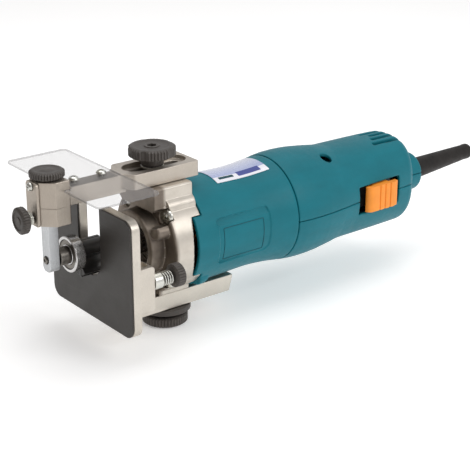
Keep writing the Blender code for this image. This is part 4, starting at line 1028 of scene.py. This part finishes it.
def along_line(stations, x):
    """A value between stations (x, value), carried on past the last by its slope."""
    pairs = list(zip(stations, stations[1:]))
    for (x0, v0), (x1, v1) in pairs:
        if x <= x1 or (x1, v1) == stations[-1]:
            return v0 + (v1 - v0) * (x - x0) / (x1 - x0)
    return stations[-1][1]


def handle_radius(x, angle, inset=0.0):
    """Outer radius of the handle; angle is 0 at the far side and 90 degrees at the top."""
    reach = min(x, END_ROUND)
    top, side = along_line(GRIP_TOP, reach), along_line(GRIP_SIDE, reach)
    square = along_line(SQUARENESS, reach)
    hand = (abs(cos(angle) / side) ** square + abs(sin(angle) / top) ** square) ** (-1 / square)
    radius = max(hand, along_line(BELLY, x)) if x < BELLY_REAR else hand
    if x > END_ROUND:
        share = min(1.0, (x - END_ROUND) / (CAP_REAR - END_ROUND))
        radius -= END_FILLET * (1 - sqrt(1 - share ** 2))
    return radius - inset


def handle_core(front, rear, inset):
    """The handle's solid form between two stations, drawn in by the inset."""
    sides, straight, bend = 144, 70, 16
    cage = bmesh.new()
    stations = [front + (min(rear, END_ROUND) - front) * k / straight for k in range(straight + 1)]
    stations += [END_ROUND + (rear - END_ROUND) * sin(pi / 2 * k / bend) for k in range(1, bend + 1)]
    rings = []
    for x in stations:
        ring = []
        for k in range(sides):
            angle = 2 * pi * k / sides
            radius = handle_radius(x, angle, inset)
            ring.append(cage.verts.new((x, radius * cos(angle), radius * sin(angle))))
        rings.append(ring)
    for one, two in zip(rings, rings[1:]):
        for k in range(sides):
            cage.faces.new((one[k], one[(k + 1) % sides], two[(k + 1) % sides], two[k]))
    cage.faces.new(rings[0])
    cage.faces.new(rings[-1])
    return made(cage)


def make_handle_half(node, side):
    """Upper or lower shell, with its vents, screw sinks and its half of the cable boss and switch window."""
    half = handle_core(SEAM, CAP_REAR, 0.0)
    cut(half, handle_core(SEAM - 0.002, CAP_REAR - WALL, WALL))
    inner, radius = CAP_REAR - WALL, 0.0137
    boss = lathe(rounded([(inner, 0, 0), (inner, radius, 0), (BOSS_REAR, radius, 0.0022), (BOSS_REAR, 0, 0)]),
                 centre=BOSS)
    foot = [(-0.0020, 0.0), (-0.0020, 0.0150), (0.0004, 0.0150), (0.0012, 0.0142), (0.0025, 0.0136),
            (0.0025, 0.0)]
    collar = lathe([(CAP_REAR + along, radius) for along, radius in foot], centre=BOSS)
    posts = [rod(0.0052, *sorted((0.0, side * 0.0265)), "Z", place) for place in HANDLE_SCREWS]
    join(half, boss, collar, *posts)
    cut(half, rod(0.0079, 0.240, 0.280, centre=BOSS), rod(0.0110, 0.240, 0.2535, centre=BOSS),
        block((0.1905, -0.042, -0.0095), (0.2300, -0.0255, 0.0095)))
    if side > 0:
        for place in HANDLE_SCREWS:
            cut(half, rod(0.0040, 0.0105, 0.045, "Z", place), rod(0.0020, -0.010, 0.045, "Z", place))
        ledge = block((0.2160, -0.0160, 0.0232), (0.2600, 0.0160, 0.0252))
        join(half, boolean(ledge, "INTERSECT", (handle_core(SEAM, CAP_REAR - WALL / 2, WALL / 2),)))
        wide, rear, floor = 0.0015, 0.262, 0.0247
        for y in VENTS:
            start = 0.2260 - 0.62 * abs(y)
            slot = rounded([(start, y - wide, 0.00145), (rear, y - wide, 0), (rear, y + wide, 0),
                            (start, y + wide, 0.00145)])
            cut(half, prism(slot, floor, 0.045, "Z"))
    else:
        cut(half, *[rod(0.0018, -0.014, 0.010, "Z", place) for place in HANDLE_SCREWS])
    low, high = sorted((-0.060 * side, GAP / 2 * side))
    cut(half, block((0.120, -0.060, low), (0.290, 0.060, high)))
    show(cast(half, 0.00045, 5), node, sharp=SMOOTH)


def make_handle_screws():
    for node, place in zip(("handle_screw_near", "handle_screw_far"), HANDLE_SCREWS):
        pan_screw(node, 0.0108, "+Z", place, 0.0034, 0.0022, 0.0014, 0.0215)


def make_switch():
    """Sliding button with a raised nose and four grip ribs."""
    low_x, high_x = span("switch_button", "X")
    low_z, high_z = span("switch_button", "Z")
    outer = span("switch_button", "Y")[0]
    inner, stem = -0.0296, -0.0236
    stem_front, stem_rear = 0.2036, 0.2178
    plan = [(stem_rear, inner), (stem_rear, stem), (stem_front, stem), (stem_front, inner), (low_x, inner)]
    plan += [(low_x, outer + 0.0030), (low_x + 0.0006, outer + 0.0016), (low_x + 0.0018, outer + 0.0005),
             (low_x + 0.0034, outer)]
    ribs, pitch, groove = 4, 0.0047, outer + 0.0008
    for k in range(ribs):
        crest = low_x + 0.0060 + k * pitch
        plan += [(crest, outer), (crest + 0.0034, outer), (crest + 0.0039, outer + 0.0004),
                 (crest + 0.0041, groove)]
        if k < ribs - 1:
            plan += [(crest + 0.0045, groove)]
    plan += [(high_x, outer + 0.0012), (high_x, inner)]
    button = prism(plan, low_z, high_z, "Z")
    show(edge(button, 0.00035, 3, 40), "switch_button", sharp=45)


def make_bend_sleeve():
    """Tapered rubber sleeve with a bead at its mouth, tilted up a little from the boss."""
    start, turn_x, tilt = 0.2495, 0.265, radians(2.6)
    mouth, tip, root, steps = BOSS_REAR + 0.0020, 0.3225, 0.0075, 12
    profile = [(start, 0.0100), (0.2525, 0.0100), (0.2530, 0.0068), (mouth - 0.0015, 0.0068),
               (mouth - 0.0008, 0.0072), (mouth, root)]
    for k in range(1, steps + 1):
        profile.append((mouth + (tip - mouth) * k / steps, root - 0.0021 * k / steps))
    profile += [(0.3240, 0.00555), (0.3258, 0.00560), (0.3272, 0.00530), (0.3280, 0.0047), (0.3280, 0.0040),
                (0.3274, 0.0036), (start, 0.0036)]
    sleeve = lathe([(x - turn_x, r) for x, r in profile], ring=True)
    turned = Matrix.Rotation(-tilt, 4, "Y")
    sleeve.data.transform(Matrix.Translation((turn_x, 0, BOSS[1] - 0.0002)) @ turned)
    show(sleeve, "bend_sleeve", sharp=60)


# ---- spindle end
def make_collet_and_cutter():
    """Hexagon nut with chamfered corners, and a two-flute cutter with its tips."""
    low, high = span("collet_nut", "X")
    corner_reach = 0.019 / sqrt(3)
    nut = prism([around(corner_reach, 60 * k) for k in range(6)], low, high, "X")
    boolean(nut, "INTERSECT", (round_rod(0.0104, low, high, 0.0012, sides=96),))
    cut(nut, rod(0.0070, 0.0148, 0.030), rod(0.0050, 0.005, 0.030))
    show(edge(nut, 0.0003, 2), "collet_nut", sharp=35)
    front, rear = span("cutter_bit", "X")
    body_rear = 0.0080
    cutter = round_rod(0.0104, -0.0082, body_rear, 0.0004, sides=96)
    for side in (-1, 1):
        cut(cutter, rod(0.0070, -0.010, 0.010, centre=(side * 0.0112, side * 0.0015), sides=64))
    for side in (-1, 1):
        low_y, high_y = sorted((side * 0.0012, side * 0.0036))
        low_z, high_z = sorted((side * 0.0050, side * 0.0106))
        join(cutter, block((front, low_y, low_z), (body_rear, high_y, high_z)))
    join(cutter, round_rod(0.003175, 0.0070, rear, 0.0004))
    show(cast(cutter, 0.00016, 2, most=30000), "cutter_bit", sharp=35)


def dress_inner_nodes():
    """CAD nodes that stay as they are: their slots get the procedural materials."""
    replaced = {n for piece in SHOWN for n in piece.get("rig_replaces", [])}
    for node, solid in frame["nodes"].items():
        if node in replaced:
            continue
        solid.data.materials.clear()
        solid.data.materials.append(SEGMENTS if node == "commutator" else LOOKS[SLOT_OF[node]])


# ---- studio
def make_floor():
    """A wide pale floor just under the lowest piece."""
    reach, drop = 6.0, 0.0003
    level = cad_box[0].z - drop
    cage = bmesh.new()
    corners = rectangle(-reach, reach, -reach, reach)
    cage.faces.new([cage.verts.new((x, y, level)) for x, y in corners])
    floor = made(cage, "floor")
    s = Shade("floor_paper")
    tint = s.blend(s.cloud(1.5, 2.0), (0.93, 0.93, 0.925), (0.95, 0.95, 0.95))
    floor.data.materials.append(s.finish(tint, 0.9, Specular_IOR_Level=0.1, Emission_Color=tint,
                                         Emission_Strength=0.30))


def lamp(name, place, aim, size, power):
    light = bpy.data.lights.new(name, "AREA")
    light.size = size
    light.energy = power
    holder = placed(name, light)
    holder.location = place
    holder.rotation_euler = (Vector(aim) - Vector(place)).to_track_quat("-Z", "Y").to_euler()


def make_studio():
    """Even light from all round, dimmer towards the tool's front, and two soft lamps."""
    world = bpy.data.worlds.new("studio")
    world.use_nodes = True
    nodes, link = world.node_tree.nodes, world.node_tree.links.new
    sky = nodes["Background"]
    direction = nodes.new("ShaderNodeTexCoord")
    split = nodes.new("ShaderNodeSeparateXYZ")
    link(direction.outputs["Generated"], split.inputs[0])
    side = nodes.new("ShaderNodeMapRange")
    side.inputs["From Min"].default_value = -0.9
    side.inputs["From Max"].default_value = 0.3
    link(split.outputs["X"], side.inputs["Value"])
    tint = nodes.new("ShaderNodeMix")
    tint.data_type = "RGBA"
    tint.inputs[6].default_value = (0.30, 0.27, 0.25, 1.0)
    tint.inputs[7].default_value = (0.96, 0.96, 0.97, 1.0)
    link(side.outputs["Result"], tint.inputs[0])
    link(tint.outputs[2], sky.inputs["Color"])
    sky.inputs["Strength"].default_value = 0.72
    bpy.context.scene.world = world
    centre = (0.12, 0, 0.02)
    lamp("key", (0.45, -1.0, 0.75), centre, 0.6, 4.5)
    lamp("top", (0.15, 0.10, 1.2), centre, 1.0, 6.0)
    bpy.context.scene.view_settings.view_transform = "Standard"


def make_camera():
    """Three-quarter view from the front, on the switch side and a little above."""
    data = bpy.data.cameras.new("camera")
    data.lens = 99.57
    data.clip_start = 0.01
    holder = placed("camera", data)
    holder.location = (-0.3729, -0.6180, 0.3214)
    holder.rotation_euler = Vector((0.5728, 0.7332, -0.3665)).to_track_quat("-Z", "Y").to_euler()
    bpy.context.scene.camera = holder


make_base()
make_depth_adjuster()
make_clamp_knob("base_clamp_knob", -0.0575, -0.0508, -0.0485, -0.0275, 0)
make_washer("base_clamp_washer", 0.0006)
make_clamp_knob("guide_clamp_knob", 0.0533, 0.0600, 0.0481, 0.0260, 5)
make_washer("guide_clamp_washer", 0.0003)
make_guide_arm()
make_chip_shield()
make_guide_post()
make_fine_adjuster()
make_slide_bar()
make_guide_bearing()
make_nose()
make_housing()
make_label()
make_handle_half("handle_upper", 1)
make_handle_half("handle_lower", -1)
make_handle_screws()
make_switch()
make_bend_sleeve()
make_collet_and_cutter()
dress_inner_nodes()
make_floor()
make_studio()
make_camera()
